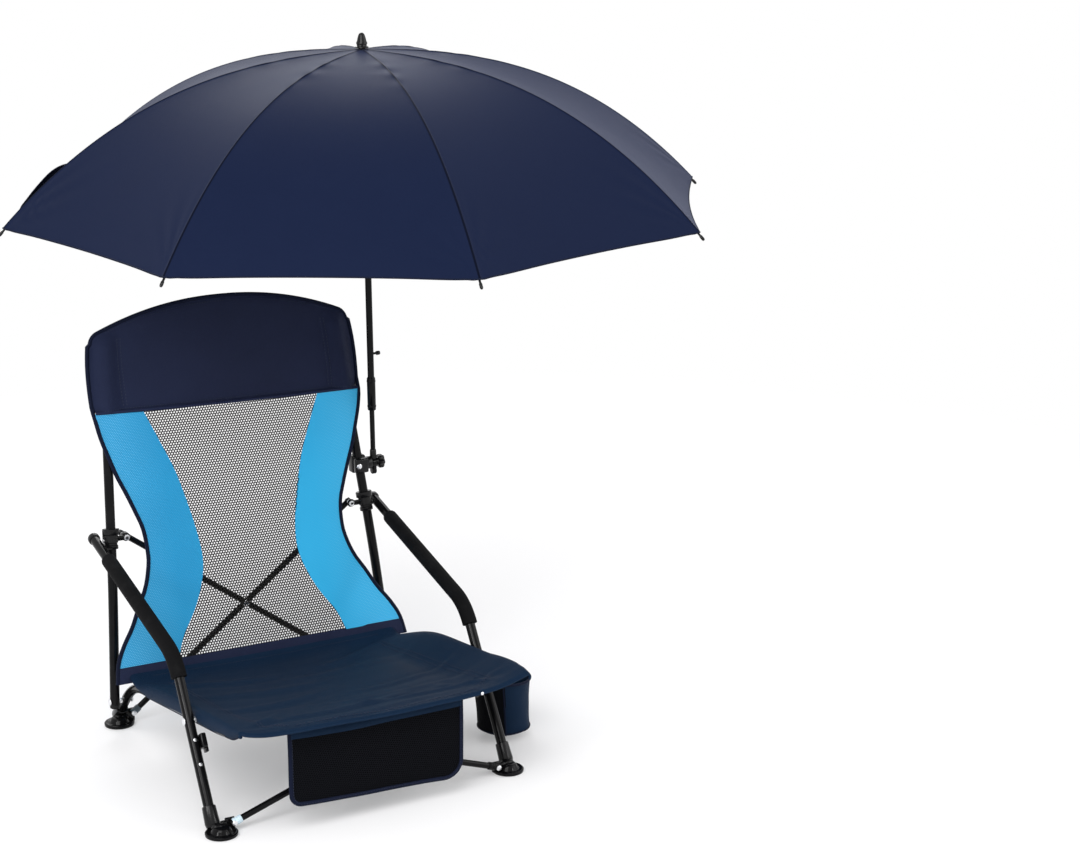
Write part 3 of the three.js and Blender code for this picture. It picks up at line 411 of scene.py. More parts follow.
def bendPath(start, corner, end, tangent, steps=14):
    into = (corner - start).normalized()
    out = (end - corner).normalized()
    first = corner - into * tangent
    last = corner + out * tangent
    path = [start]
    for k in range(steps + 1):
        t = k / steps
        path.append(first * (1 - t) ** 2 + corner * (2 * t * (1 - t)) + last * t ** 2)
    return path + [end]


def gridCloth(columns, rows, pointAt, size, weld=1e-5):
    # a grid whose corners are placed by pointAt(u, v), with both shares from 0 to 1
    bm = bmesh.new()
    bmesh.ops.create_grid(bm, x_segments=columns, y_segments=rows, size=0.5)
    cloth = bm.loops.layers.uv.new("cloth")
    for face in bm.faces:
        for loop in face.loops:
            loop[cloth].uv = ((loop.vert.co.x + 0.5) * size[0], (loop.vert.co.y + 0.5) * size[1])
    for vert in bm.verts:
        vert.co = pointAt(vert.co.x + 0.5, vert.co.y + 0.5)
    bmesh.ops.remove_doubles(bm, verts=bm.verts[:], dist=weld)
    return bm


def thicken(bm, thickness):
    bmesh.ops.recalc_face_normals(bm, faces=bm.faces[:])
    bmesh.ops.solidify(bm, geom=bm.faces[:], thickness=thickness)


def fillSheet(name, columns, rows, pointAt, size, thickness, material, body, stands=(), sharpAngle=60):
    bm = gridCloth(columns, rows, pointAt, size)
    thicken(bm, thickness)
    return settle(bm, name, [material], body, stands, sharpAngle)


def cord(name, points, radius, sides, material="bindingTape", body="right_frame", squeeze=None):
    # a hem, a tape or a rolled edge
    bm = bmesh.new()
    sweep(bm, points, radius, sides, None, squeeze)
    bm.loops.layers.uv.new("cloth")
    return settle(bm, name, [material], body)


def stitches(bm, points, stitch=0.0034, gap=0.0014, radius=0.00042, material=0):
    # short beads of thread laid end to end along a line of points
    points = [Vector(p) for p in points]
    lengths = [0.0]
    for a, b in zip(points, points[1:]):
        lengths.append(lengths[-1] + (b - a).length)

    def along(s):
        for k in range(1, len(points)):
            if s <= lengths[k]:
                t = (s - lengths[k - 1]) / max(1e-9, lengths[k] - lengths[k - 1])
                return points[k - 1].lerp(points[k], t)
        return points[-1]

    s = gap
    while s + stitch < lengths[-1]:
        a, b = along(s), along(s + stitch)
        way = (b - a).normalized()
        turn = Vector((0, 0, 1)).rotation_difference(way).to_matrix().to_4x4()
        shape = Matrix.Diagonal((radius, radius, stitch / 2, 1))
        out = bmesh.ops.create_icosphere(bm, subdivisions=1, radius=1,
            matrix=Matrix.Translation((a + b) / 2) @ turn @ shape)
        for f in {f for v in out["verts"] for f in v.link_faces}:
            f.material_index = material
        s += stitch + gap


def smoothTable(table, at):
    # a smooth curve through (place, value) pairs
    if at <= table[0][0]:
        return table[0][1]
    for k in range(1, len(table)):
        if at <= table[k][0]:
            (x0, y0), (x1, y1) = table[k - 1], table[k]
            before = table[max(0, k - 2)]
            after = table[min(len(table) - 1, k + 1)]
            m0 = (y1 - before[1]) / (x1 - before[0])
            m1 = (after[1] - y0) / (after[0] - x0)
            t = (at - x0) / (x1 - x0)
            h = x1 - x0
            return ((2 * t**3 - 3 * t**2 + 1) * y0 + (t**3 - 2 * t**2 + t) * h * m0
                    + (3 * t**2 - 2 * t**3) * y1 + (t**3 - t**2) * h * m1)
    return table[-1][1]


# steel frame
railX = 0.2305
tubes = {"radius": 0.008, "strutRadius": 0.005, "legFoot": (0.249, 0.02, 0.012),
    "legCorner": (0.2487, 0.159, 0.232), "armEnd": (0.2535, 0.516, 0.32), "legBend": 0.034,
    "railEndY": -0.016, "uprightEndZ": 0.044, "foamTop": (0.451, 0.3042), "foamRadius": 0.0122,
    "railFoot": (railX, 0.507, 0.012), "railCorner": (railX, 0.4209, 0.0934), "railSlope": 0.1656,
    "railBend": 0.055, "sliderZ": 0.322, "rearPin": (0.213, 0.489, 0.019),
    "rearTop": (0.2037, 0.52066, 0.321), "frontPin": (0.2205, 0.0, 0.013), "knuckleZ": 0.088,
    "strutStep": 0.0109}


def railHeight(y):
    return tubes["railCorner"][2] + (tubes["railCorner"][1] - y) * tubes["railSlope"]


# the uprights lean in and back, and lean back more above a slight bend
upright = {"foot": (0.2525, 0.4583, 0.03), "inward": 0.0769, "lowLean": 0.13, "highLean": 0.205,
    "bendZ": 0.25}


def uprightX(z):
    return upright["foot"][0] - (z - upright["foot"][2]) * upright["inward"]


def uprightY(z):
    s = upright
    low = min(z, s["bendZ"]) - s["foot"][2]
    return s["foot"][1] + low * s["lowLean"] + max(0.0, z - s["bendZ"]) * s["highLean"]


def uprightAt(side, z):
    return spot(side * uprightX(z), uprightY(z), z)


def sided(side, point):
    return spot(side * point[0], point[1], point[2])


legPivot = (0.104, railHeight(0.104))
backPivotZ = 0.054
sideWords = {1: "right", -1: "left"}
pinShape = {"inner": 0.2222, "leg": 0.257, "back": 0.2587, "washer": 0.2392, "radius": 0.0025,
    "head": 0.006, "headHeight": 0.0026}


def strutEnds(side):
    step = side * tubes["strutStep"] / 2
    x, y, z = tubes["rearPin"]
    topX, topY, topZ = tubes["rearTop"]
    return spot(side * x, y + step, z), spot(-side * topX, topY + step, topZ)


def makeFrame(side):
    word = sideWords[side]
    legPath = bendPath(sided(side, tubes["legFoot"]), sided(side, tubes["legCorner"]),
        sided(side, tubes["armEnd"]), tubes["legBend"])
    bm = bmesh.new()
    sweep(bm, legPath, tubes["radius"], 28)
    settle(bm, word + "LegArmTube", ["paintedSteel"], word + "_leg", (word + "_leg_arm_tube",))

    # foam grip, rounded at both ends
    corner = sided(side, tubes["legCorner"])
    down = (sided(side, tubes["legFoot"]) - corner).normalized()
    out = (sided(side, tubes["armEnd"]) - corner).normalized()
    reach = math.hypot(tubes["foamTop"][0] - tubes["legCorner"][1],
        tubes["foamTop"][1] - tubes["legCorner"][2])
    foamPath = bendPath(corner + down * (tubes["legBend"] + 0.001), corner, corner + out * reach,
        tubes["legBend"])
    start, end = foamPath[0], foamPath[-1]
    into, last = -down, out
    body = foamPath[1:-1]
    path = ([start, start + into * 0.0006, start + into * 0.0008] + body
            + [end - last * 0.006, end - last * 0.003, end - last * 0.0008, end])
    r = tubes["foamRadius"]
    radii = [r * 0.84, r * 0.95, r] + [r] * len(body) + [r, r * 0.985, r * 0.93, r * 0.84]
    bm = bmesh.new()
    sweep(bm, path, r, 32, radii)
    settle(bm, word + "ArmFoam", ["gripFoam"], word + "_leg", (word + "_arm_foam",), 60)

    # cap on the arm's end
    bm = bmesh.new()
    armEnd = sided(side, tubes["armEnd"])
    turnProfile(bm, [(0, -0.002), (0.0085, -0.002), (0.0097, -0.001), (0.0099, 0.001), (0.0099, 0.0055),
        (0.0085, 0.0085), (0.005, 0.0093), (0, 0.0095)], armEnd, out, 28)
    settle(bm, word + "ArmEndCap", ["mouldedPlastic"], word + "_leg", (word + "_arm_end_cap",))

    # seat rail with its rear leg
    # the cloth hides the end of the rail, so it stops a little short of the folded corner
    railFront = spot(side * railX, tubes["railEndY"], railHeight(tubes["railEndY"]))
    railPath = bendPath(sided(side, tubes["railFoot"]), sided(side, tubes["railCorner"]), railFront,
        tubes["railBend"])
    bm = bmesh.new()
    sweep(bm, railPath, tubes["radius"], 28)
    settle(bm, word + "SeatRail", ["paintedSteel"], word + "_frame", (word + "_seat_rail",))

    # back upright
    path = bendPath(uprightAt(side, tubes["uprightEndZ"]), uprightAt(side, 0.25), uprightAt(side, 0.64),
        0.06, 10)
    bm = bmesh.new()
    sweep(bm, path, tubes["radius"], 28)
    turnProfile(bm, [(0, -0.0025), (0.006, -0.0025), (0.0082, -0.001), (0.0084, 0.004), (0.008, 0.0045)],
        uprightAt(side, tubes["uprightEndZ"]), uprightAt(side, 0.08) - uprightAt(side, 0.05), 24, 1)
    settle(bm, word + "BackUpright", ["paintedSteel", "mouldedPlastic"], word + "_back",
        (word + "_back_upright",))

    # pins of the two frame pivots
    s = pinShape
    for label, y, z in (("leg", *legPivot), ("back", uprightY(backPivotZ), backPivotZ)):
        bm = bmesh.new()
        a, b = spot(side * s["inner"], y, z), spot(side * s[label], y, z)
        sweep(bm, [a, b], s["radius"], 16)
        for end, way in ((a, -side), (b, side)):
            domeHead(bm, end, (way, 0, 0), s["head"], s["headHeight"])
        turnProfile(bm, [(0.0028, 0.0), (0.0052, 0.0), (0.0052, 0.0016), (0.0028, 0.0016)],
            spot(side * s["washer"], y, z), (side, 0, 0), 20)
        settle(bm, f"{word}{label.title()}PivotPin", ["rivetMetal"], word + "_frame",
            (f"{word}_{label}_pivot_pin",))


def ringRivet(bm, at, way, radius):
    # a bright washer with the dark end of its pin in the middle
    turnProfile(bm, [(radius * 0.45, 0.0), (radius * 0.45, 0.0012), (radius * 0.9, 0.001), (radius, 0.0004),
        (radius, -0.0004)], at, way, 24, 1)
    domeHead(bm, at + Vector(way) * 0.0006, way, radius * 0.44, 0.001, 0)


sliderShape = {"radius": 0.0115, "length": 0.034, "collar": 0.0142, "ear": 0.0065, "earThickness": 0.0045,
    "armFace": 0.2428}


def makeSlider(side):
    word = sideWords[side]
    s = sliderShape
    middle = uprightAt(side, tubes["sliderZ"])
    way = (uprightAt(side, 0.36) - uprightAt(side, 0.3)).normalized()
    half = s["length"] / 2
    bm = bmesh.new()
    profile = [(0.0084, -half), (s["radius"] - 0.0008, -half), (s["radius"], -half + 0.001),
        (s["radius"], -half + 0.006), (s["radius"] - 0.0014, -half + 0.0072),
        (s["radius"] - 0.0014, -half + 0.0098), (s["radius"], -half + 0.011), (s["radius"], half * 0.36),
        (s["collar"] - 0.0006, half * 0.4), (s["collar"], half * 0.46), (s["collar"], half - 0.001),
        (s["collar"] - 0.001, half), (0.0084, half)]
    turnProfile(bm, profile, middle, way, 32)
    # boss towards the arm, with its bolt
    armFace = spot(side * s["armFace"], 0, 0).x
    y, z = middle.y, tubes["sliderZ"] - 0.0022
    boss = Vector((armFace, y, z))
    sweep(bm, [Vector((middle.x, y, z)), boss - Vector((side * 0.0008, 0, 0)), boss], 0.0072, 24,
        [0.0075, 0.0072, 0.0064])
    softBlock(bm, (0.016, 0.014, 0.02), Vector((middle.x + side * 0.004, y + 0.003, z)))
    # ear and post towards the rear strut
    top = strutEnds(-side)[1]
    earBack = top.y - tubes["strutRadius"] - 0.0072
    innerX = spot(side * tubes["rearTop"][0], 0, 0).x
    softBlock(bm, (abs(middle.x - innerX) + 0.004, s["earThickness"], 0.0085),
        Vector(((middle.x + innerX) / 2, y, tubes["rearTop"][2])), None, 0.0012)
    turnProfile(bm, [(0, 0), (s["ear"], 0), (s["ear"] + 0.0006, 0.0008), (s["ear"] + 0.0006, earBack - y),
        (s["ear"], earBack - y + 0.0008), (0, earBack - y + 0.0008)],
        Vector((innerX, y, tubes["rearTop"][2])), (0, 1, 0), 24)
    ringRivet(bm, Vector((innerX, y - s["earThickness"] / 2, tubes["rearTop"][2])), (0, -1, 0), 0.005)
    domeHead(bm, Vector((armFace + side * 0.0002, y, z)), (side, 0, 0), 0.0035, 0.0016, 1)
    settle(bm, word + "Slider", ["mouldedPlastic", "rivetMetal"], word + "_slide", (word + "_slider",))


bracketShape = {"size": (0.009, 0.024, 0.022), "drop": 0.018, "x": 0.2362}


def makeBracket(side):
    word = sideWords[side]
    corner, foot = Vector(tubes["legCorner"]), Vector(tubes["legFoot"])
    way = (corner - foot).normalized()
    way.x = 0
    way.normalize()
    turn = Vector((0, 0, 1)).rotation_difference(way).to_matrix()
    s = bracketShape
    z = legPivot[1] - s["drop"] - 0.011
    y = legPivot[0] - (legPivot[1] - z) * way.y / way.z
    bm = bmesh.new()
    softBlock(bm, s["size"], spot(side * s["x"], y, z), turn, 0.0022)
    softBlock(bm, (0.005, 0.013, 0.012), spot(side * (s["x"] - 0.004), y - 0.004, z - 0.011), turn, 0.0015)
    for step in (-0.0066, 0.0066):
        at = spot(side * (s["x"] - 0.0047), y, z) + way * step
        domeHead(bm, at, (-side, 0, 0), 0.0034, 0.0016, 1)
    # rivets on the front of the left leg
    front = Vector((0, -way.z, way.y))
    for z2 in (0.087, 0.119) if side < 0 else ():
        share = (z2 - foot.z) / (corner.z - foot.z)
        at = sided(side, tuple(foot.lerp(corner, share))) + front * 0.0077
        domeHead(bm, at, front, 0.0028, 0.0014, 1)
    settle(bm, word + "LegBracket", ["mouldedPlastic", "rivetMetal"], word + "_leg",
        (word + "_leg_bracket",))


footShape = {"radius": 0.025, "rim": 0.005, "dome": 0.013, "neck": 0.0112, "neckLength": 0.026,
    "front": (0.2425, 0, 0), "rear": (0.236, 0.489, 0)}


def makeFoot(side, word, body, centre, tubeStart, tubeWay, pin):
    s = footShape
    bm = bmesh.new()
    profile = [(0, 0), (s["radius"] - 0.0015, 0), (s["radius"] - 0.0003, 0.0006), (s["radius"], 0.002),
        (s["radius"], s["rim"] - 0.0008), (s["radius"] - 0.0012, s["rim"] + 0.0004),
        (s["radius"] - 0.003, s["rim"] + 0.0006), (0.0205, s["rim"]), (0.0195, s["rim"] - 0.0004),
        (0.0165, s["rim"] + 0.0004), (0.0145, 0.009), (0.013, s["dome"] - 0.001), (0.0115, s["dome"]),
        (0, s["dome"])]
    turnProfile(bm, profile, centre, (0, 0, 1), 48, 2)
    end = tubeStart + tubeWay * s["neckLength"]
    path = [tubeStart - tubeWay * 0.006, tubeStart - tubeWay * 0.001, end - tubeWay * 0.004,
        end - tubeWay * 0.001, end]
    sweep(bm, path, s["neck"], 28, [s["neck"] - 0.001, s["neck"] + 0.0004, s["neck"] - 0.0006,
        s["neck"] - 0.0008, s["neck"] - 0.0018])
    # shoe that joins the neck to the disc
    between = tubeStart.lerp(centre, 0.42)
    softBlock(bm, (0.017, 0.023, 0.013), Vector((between.x, between.y, 0.0095)), None, 0.005)
    # cheek plates and pivot of the strut
    earY = pin.y + tubes["strutRadius"] + 0.004
    height = pin.z + tubes["strutRadius"]
    cheek = Vector((pin.x + side * 0.003, earY, height / 2 + 0.0005))
    softBlock(bm, (0.0155, 0.0056, height - 0.001), cheek, None, 0.0016)
    sweep(bm, [Vector((pin.x, earY + 0.0025, pin.z)), Vector((pin.x, pin.y - 0.0056, pin.z))], 0.0024, 16,
        None, None, 1)
    domeHead(bm, Vector((pin.x, pin.y - 0.0052, pin.z)), (0, -1, 0), 0.0044, 0.0019, 1)
    # lug that rises from the disc to the pin
    softBlock(bm, (0.0125, 0.008, 0.013), Vector((pin.x + side * 0.0125, earY - 0.001, 0.0085)), None,
        0.003)
    settle(bm, word + "Foot", ["mouldedPlastic", "rivetMetal", "paintedSteel"], body, (footNodes[word],))


footNodes = {"rightFront": "right_front_foot", "leftFront": "left_front_foot",
    "rightRear": "right_rear_foot", "leftRear": "left_rear_foot"}


def makeFeet(side):
    word = sideWords[side]
    legFoot = sided(side, tubes["legFoot"])
    legWay = (sided(side, tubes["legCorner"]) - legFoot).normalized()
    x, _, z = tubes["frontPin"]
    frontPin = spot(side * x, -side * tubes["strutStep"] / 2, z)
    makeFoot(side, word + "Front", word + "_leg", sided(side, footShape["front"]), legFoot, legWay,
        frontPin)
    railFoot = sided(side, tubes["railFoot"])
    railWay = (sided(side, tubes["railCorner"]) - railFoot).normalized()
    makeFoot(side, word + "Rear", word + "_frame", sided(side, footShape["rear"]), railFoot, railWay,
        strutEnds(side)[0])


strutShape = {"waist": 0.0054, "clip": 0.0064, "clipStart": 0.0035, "paleStart": -0.0015,
    "clipLength": 0.0145, "head": 0.0056, "headHeight": 0.0022}


def clipRound(bm, low, way, side):
    # ribbed clip at the foot end, pale or grey on the left side and black on the right
    s = strutShape
    start = s["clipStart"] if side > 0 else s["paleStart"]
    points, radii = [], []
    for k in range(13):
        points.append(low + way * (start + s["clipLength"] * k / 12))
        radii.append(s["clip"] - (0.0007 if k in (0, 12) else 0.0) - (0.0005 if k % 3 == 1 else 0.0))
    sweep(bm, points, s["clip"], 22, radii, None, 2 if side < 0 else 0)


def makeStruts():
    s = strutShape
    r = tubes["strutRadius"]
    crossShare = tubes["rearPin"][0] / (tubes["rearPin"][0] + tubes["rearTop"][0])
    for side, letter in ((1, "a"), (-1, "b")):
        word = sideWords[side]
        low, high = strutEnds(side)
        way = (high - low).normalized()
        cross = low.lerp(high, crossShare)
        bm = bmesh.new()
        path = [low - way * r, low + way * 0.004, low + way * 0.0041, high - way * 0.0041,
            high - way * 0.004, high + way * r]
        sweep(bm, path, r, 24, [0.0048, s["waist"], r, r, s["waist"], 0.0048])
        for back in (1, -1):
            ringRivet(bm, high + Vector((0, back * r, 0)), (0, back, 0), 0.0042)
        clipRound(bm, low, way, side)
        if side < 0:
            domeHead(bm, cross + Vector((0, -r, 0)), (0, -1, 0), s["head"], s["headHeight"], 1)
        settle(bm, word + "RearStrut", ["paintedSteel", "rivetMetal", "greyBush"], "rear_strut_" + letter,
            ("rear_strut_from_" + word,))
        x, y, z = tubes["frontPin"]
        y = -side * tubes["strutStep"] / 2
        low, high = spot(side * x, y, z), spot(0, y, tubes["knuckleZ"])
        way = (high - low).normalized()
        bm = bmesh.new()
        sweep(bm, [low - way * r, high + way * r], r, 24)
        clipRound(bm, low, way, side)
        if side < 0:
            domeHead(bm, high + Vector((0, r, 0)), (0, 1, 0), s["head"], s["headHeight"], 1)
        settle(bm, word + "FrontBar", ["paintedSteel", "rivetMetal", "paleBush"], "front_bar_" + letter,
            ("front_bar_" + word,))
    # each pin is carried by the right strut and ends in the gap before the left one
    cross = strutEnds(1)[0].lerp(strutEnds(1)[1], crossShare)
    knuckle = spot(0, -tubes["strutStep"] / 2, tubes["knuckleZ"])
    for name, node, body, at, outward in (("rearCrossPin", "rear_cross_pin", "rear_strut_a", cross, 1),
            ("frontKnucklePin", "front_knuckle_pin", "front_bar_a", knuckle, -1)):
        bm = bmesh.new()
        face = at + Vector((0, outward * 0.0052, 0))
        sweep(bm, [face, at - Vector((0, outward * 0.0053, 0))], 0.0025, 16)
        domeHead(bm, face, (0, outward, 0), s["head"], s["headHeight"])
        settle(bm, name, ["rivetMetal"], body, (node,))


for side in (1, -1):
    makeFrame(side)
    makeSlider(side)
    makeBracket(side)
    makeFeet(side)
makeStruts()
print("frame made")


# cloth of the back
backCloth = {
    "outline": [(0.101, 0.26), (0.132, 0.2541), (0.158, 0.2404), (0.185, 0.221), (0.215, 0.2045),
        (0.24, 0.1895), (0.2642, 0.1805), (0.29, 0.1755), (0.333, 0.178), (0.364, 0.188), (0.3958, 0.2),
        (0.4236, 0.2115), (0.4547, 0.2215), (0.489, 0.2315), (0.519, 0.2365), (0.56, 0.2385), (0.6, 0.2375),
        (0.64, 0.233)],
    "netEdge": [(0.122, 0.154), (0.159, 0.139), (0.183, 0.122), (0.207, 0.1075), (0.2435, 0.0925),
        (0.27, 0.0872), (0.3, 0.0885), (0.35, 0.0975), (0.418, 0.1155), (0.468, 0.136), (0.521, 0.159)],
    "surface": [(0.1, 0.4105), (0.123, 0.4177), (0.16, 0.43), (0.285, 0.472), (0.4, 0.5005), (0.52, 0.527),
        (0.65, 0.556), (0.7, 0.568)],
    "archSide": 0.229, "cornerZ": 0.648, "rise": 0.0485, "cornerRound": 0.013, "bandTop": 0.1245,
    "lowZ": 0.101, "seamZ": 0.519, "seamRise": 0.0085, "bow": 0.01,
    "thickness": 0.0012, "binding": 0.0034, "threadAcross": 0.775,
}


def backHalf(z):
    return smoothTable(backCloth["outline"], z)


def backPoint(x, z, out=0.0):
    s = backCloth
    half = backHalf(min(z, 0.64))
    across = max(-1.0, min(1.0, x / half))
    lift = max(0.0, min(1.0, (z - 0.11) / 0.2))
    y = smoothTable(s["surface"], z) + s["bow"] * lift * (across * across - 0.35)
    return spot(x, y - out, z)


def archHeight(x):
    s = backCloth
    share = min(1.0, abs(x) / s["archSide"])
    past = max(0.0, abs(x) - (s["archSide"] - s["cornerRound"])) / s["cornerRound"]
    return (s["cornerZ"] + s["rise"] * (1 - share ** 2.15)
            - s["cornerRound"] * (1 - math.sqrt(max(0.0, 1 - min(1.0, past) ** 2))))


def seamAt(x):
    # the seam under the header climbs a little to the left
    return backCloth["seamZ"] + backCloth["seamRise"] * max(0.0, min(1.0, 0.5 - x / 0.47))


def softBulge(x, z):
    # slight swell of the loose panels
    return (0.0016 * math.sin(9 * x + 4 * z) * math.sin(11 * z)
            + 0.0012 * noise.noise(Vector((x * 14, 3.1, z * 14))))


def setClothMap(piece, mapping):
    layer = piece.data.uv_layers["cloth"]
    for loop in piece.data.loops:
        layer.data[loop.index].uv = mapping(piece.data.vertices[loop.vertex_index].co)


def backMap(co):
    # one lattice runs through the net and both side panels, stretched a little for their slope
    return co.x - offset.x, (co.z - 0.1) * 1.035


def makeBack():
    s = backCloth
    span = s["seamZ"] - s["bandTop"]

    def netPoint(u, v):
        z = s["bandTop"] + v * span
        x = (2 * u - 1) * smoothTable(s["netEdge"], z)
        z = s["bandTop"] + v * (seamAt(x) - s["bandTop"])
        return backPoint(x, z, 0.0004 + softBulge(x, z) * 0.4)

    net = fillSheet("backNetPanel", 40, 64, netPoint, (0.24, span * 1.03), 0.0009, "backNet", "right_back",
        ("back_panel_cloth",))
    setClothMap(net, backMap)
    pieces = [net]
    for side in (1, -1):
        def sidePoint(u, v):
            z = s["bandTop"] + v * span
            inner, outer = smoothTable(s["netEdge"], z) - 0.002, backHalf(z) - 0.001
            x = side * (inner + u * (outer - inner))
            z = s["bandTop"] + v * (seamAt(x) - s["bandTop"])
            return backPoint(x, z, 0.0012 + softBulge(x, z) * (1 - u))
        panel = fillSheet(sideWords[side] + "BluePanel", 16, 64, sidePoint, (0.1, span), s["thickness"],
            "blueCloth", "right_back")
        setClothMap(panel, backMap)
        pieces.append(panel)

    def bandPoint(u, v):
        z = s["lowZ"] + v * (s["bandTop"] + 0.0015 - s["lowZ"])
        x = (2 * u - 1) * (backHalf(z) - 0.001)
        return backPoint(x, z, 0.0018 + 0.0012 * math.sin(v * math.pi))

    band = fillSheet("backLowBand", 60, 8, bandPoint, (0.5, 0.025), 0.0014, "headerCloth", "right_back")
    pieces.append(band)
    return pieces


def headerMiddle(across, v, z):
    # between the uprights the header hangs a little forward
    return uprightY(z) - 0.012 * (1 - across ** 4) * (1 - 0.5 * v)


def makeHeader():
    # a flat sleeve that swells round the tops of the uprights
    s = backCloth

    def tubeSwell(x, z):
        near = (abs(x) - uprightX(z)) / 0.0155
        return math.exp(-near * near)

    def sleevePoint(u, v):
        front = u < 0.5
        across = 4 * u - 1 if front else 3 - 4 * u
        low = s["seamZ"]
        halfLow = backHalf(low + v * (s["cornerZ"] - low))
        half = min(halfLow, backHalf(low) + 0.004) - 0.001
        x = across * half
        high = archHeight(x * s["archSide"] / half)
        low = seamAt(x)
        z = low + v * (high - low)
        edge = min(1.0, (1 - abs(across)) / 0.05)
        swell = tubeSwell(x, min(z, 0.64)) * (1 if z < 0.635 else max(0.0, 1 - (z - 0.635) / 0.02))
        pinch = min(1.0, (1 - v) / 0.06)
        # the rows of thread beside each upright pull a groove
        groove = 0.0022 * math.exp(-((abs(across) - s["threadAcross"]) / 0.022) ** 2)
        thick = (max(0.001, 0.0024 + 0.0105 * swell - groove) * math.sqrt(max(0.0, edge))
                 * math.sqrt(max(0.0, pinch)))
        ripple = 0.0011 * noise.noise(Vector((x * 9, 1.7, z * 12))) + 0.0006 * math.sin(x * 34 + z * 20)
        middle = headerMiddle(across, v, z)
        y = middle - thick if front else middle + thick
        return spot(x, y + ripple * (1 - v) * edge, z)

    bm = gridCloth(112, 30, sleevePoint, (0.95, 0.16), 2e-4)
    thicken(bm, 0.0009)
    piece = settle(bm, "backHeader", ["headerCloth"], "right_back", ("back_header_cloth",), 75)

    bm = bmesh.new()
    for side in (1, -1):
        for shift in (-0.012, 0.014):
            u = (side * (s["threadAcross"] + shift) + 1) / 4
            row = [sleevePoint(u, 0.05 + 0.8 * k / 30) + Vector((0, -0.0007, 0)) for k in range(31)]
            stitches(bm, row, 0.0036, 0.0018, 0.0006)
    # one row of thread under the piped edge and one over the seam
    for share, low in ((0.955, 0.06), (0.035, 0.03)):
        row = [sleevePoint(low / 2 + (0.5 - low) * k / 90, share) + Vector((0, -0.0006, 0))
            for k in range(91)]
        stitches(bm, row, 0.003, 0.0016, 0.00045)
    threads = settle(bm, "headerStitches", ["sewingThread"], "right_back")
    return [piece, threads]


def makeBinding():
    s = backCloth
    right = []
    sideTop = s["cornerZ"] - s["cornerRound"]
    for k in range(56):
        z = s["lowZ"] + k * (sideTop - 0.002 - s["lowZ"]) / 55
        right.append((backHalf(z), z))
    top = []
    for k in range(1, 80):
        x = s["archSide"] * math.cos(math.pi * k / 80)
        top.append((x, archHeight(x)))
    outline = right + top + [(-x, z) for x, z in reversed(right)]
    points = []
    for x, z in outline:
        if z > s["seamZ"] - 0.004:
            half = backHalf(min(z, 0.64))
            across = max(-1, min(1, x / half))
            y = headerMiddle(across, (z - s["seamZ"]) / (archHeight(x) - s["seamZ"] + 1e-6), z)
            blendIn = min(1, (z - s["seamZ"] + 0.004) / 0.02)
            y = y * blendIn + (backPoint(x, z).y - offset.y) * (1 - blendIn)
            points.append(spot(x, y, z))
        else:
            points.append(backPoint(x, z, 0.0006))
    bm = bmesh.new()
    sweep(bm, points, s["binding"], 14)
    cloth = bm.loops.layers.uv.new("cloth")
    for face in bm.faces:
        for loop in face.loops:
            loop[cloth].uv = (loop.vert.co.x + loop.vert.co.y, loop.vert.co.z)
    binding = settle(bm, "backBinding", ["bindingTape"], "right_back")
    # tape over the seam between header and panels
    half = backHalf(s["seamZ"]) - 0.002
    seam = [backPoint(k / 20 * half, seamAt(k / 20 * half) + 0.0005, 0.0012) for k in range(-20, 21)]
    return [binding, cord("headerSeam", seam, 0.0026, 12, "headerCloth", "right_back")]


backPieces = makeBack() + makeHeader() + makeBinding()
print("back cloth made:", len(backPieces))


# seat cloth, slung over the rails
# the ridges say how far the loose sleeves stand over their rails, from front to back
seat = {
    "frontY": -0.088, "backY": 0.4155, "lip": 0.00905, "lipAngle": 176, "sag": 0.021, "frontSag": 0.0032,
    "turnDown": 0.0045, "cornerRound": 0.045, "cornerDepth": 0.016, "leftDroop": -0.0045,
    "rightLift": 0.01, "thickness": 0.0014, "ridgeWidth": 0.03,
    "rightRidge": [(-0.1, 0.0025), (-0.088, 0.004), (-0.06, 0.011), (-0.04, 0.016), (0.0, 0.0215),
        (0.07, 0.0245), (0.12, 0.027), (0.21, 0.03), (0.26, 0.0265), (0.31, 0.018), (0.36, 0.0075),
        (0.395, 0.001), (0.42, 0.0)],
    "leftRidge": [(-0.1, 0.0), (-0.06, 0.0), (-0.02, 0.003), (0.06, 0.006), (0.2, 0.007), (0.3, 0.005),
        (0.38, 0.0), (0.42, 0.0)],
}
# long folds that the sitter's weight and the hems pull into the cloth: from, to, width, height
seatFolds = [((-0.2, -0.02), (0.1, 0.03), 0.011, 0.0026), ((0.215, -0.045), (-0.02, 0.02), 0.009, 0.0032),
    ((0.21, 0.02), (-0.05, 0.075), 0.012, 0.0024), ((0.215, 0.11), (0.02, 0.13), 0.01, 0.0022),
    ((-0.21, 0.1), (0.0, 0.16), 0.013, 0.0022), ((-0.2, 0.22), (0.06, 0.22), 0.016, 0.002),
    ((0.2, 0.25), (-0.02, 0.27), 0.014, 0.002), ((-0.21, 0.33), (-0.02, 0.3), 0.012, 0.0022),
    ((0.21, 0.36), (0.06, 0.31), 0.012, 0.0024), ((-0.215, -0.05), (-0.12, 0.05), 0.008, 0.0026),
    ((0.19, -0.07), (0.13, 0.03), 0.008, 0.0022), ((-0.09, -0.06), (0.12, -0.045), 0.01, 0.0018)]


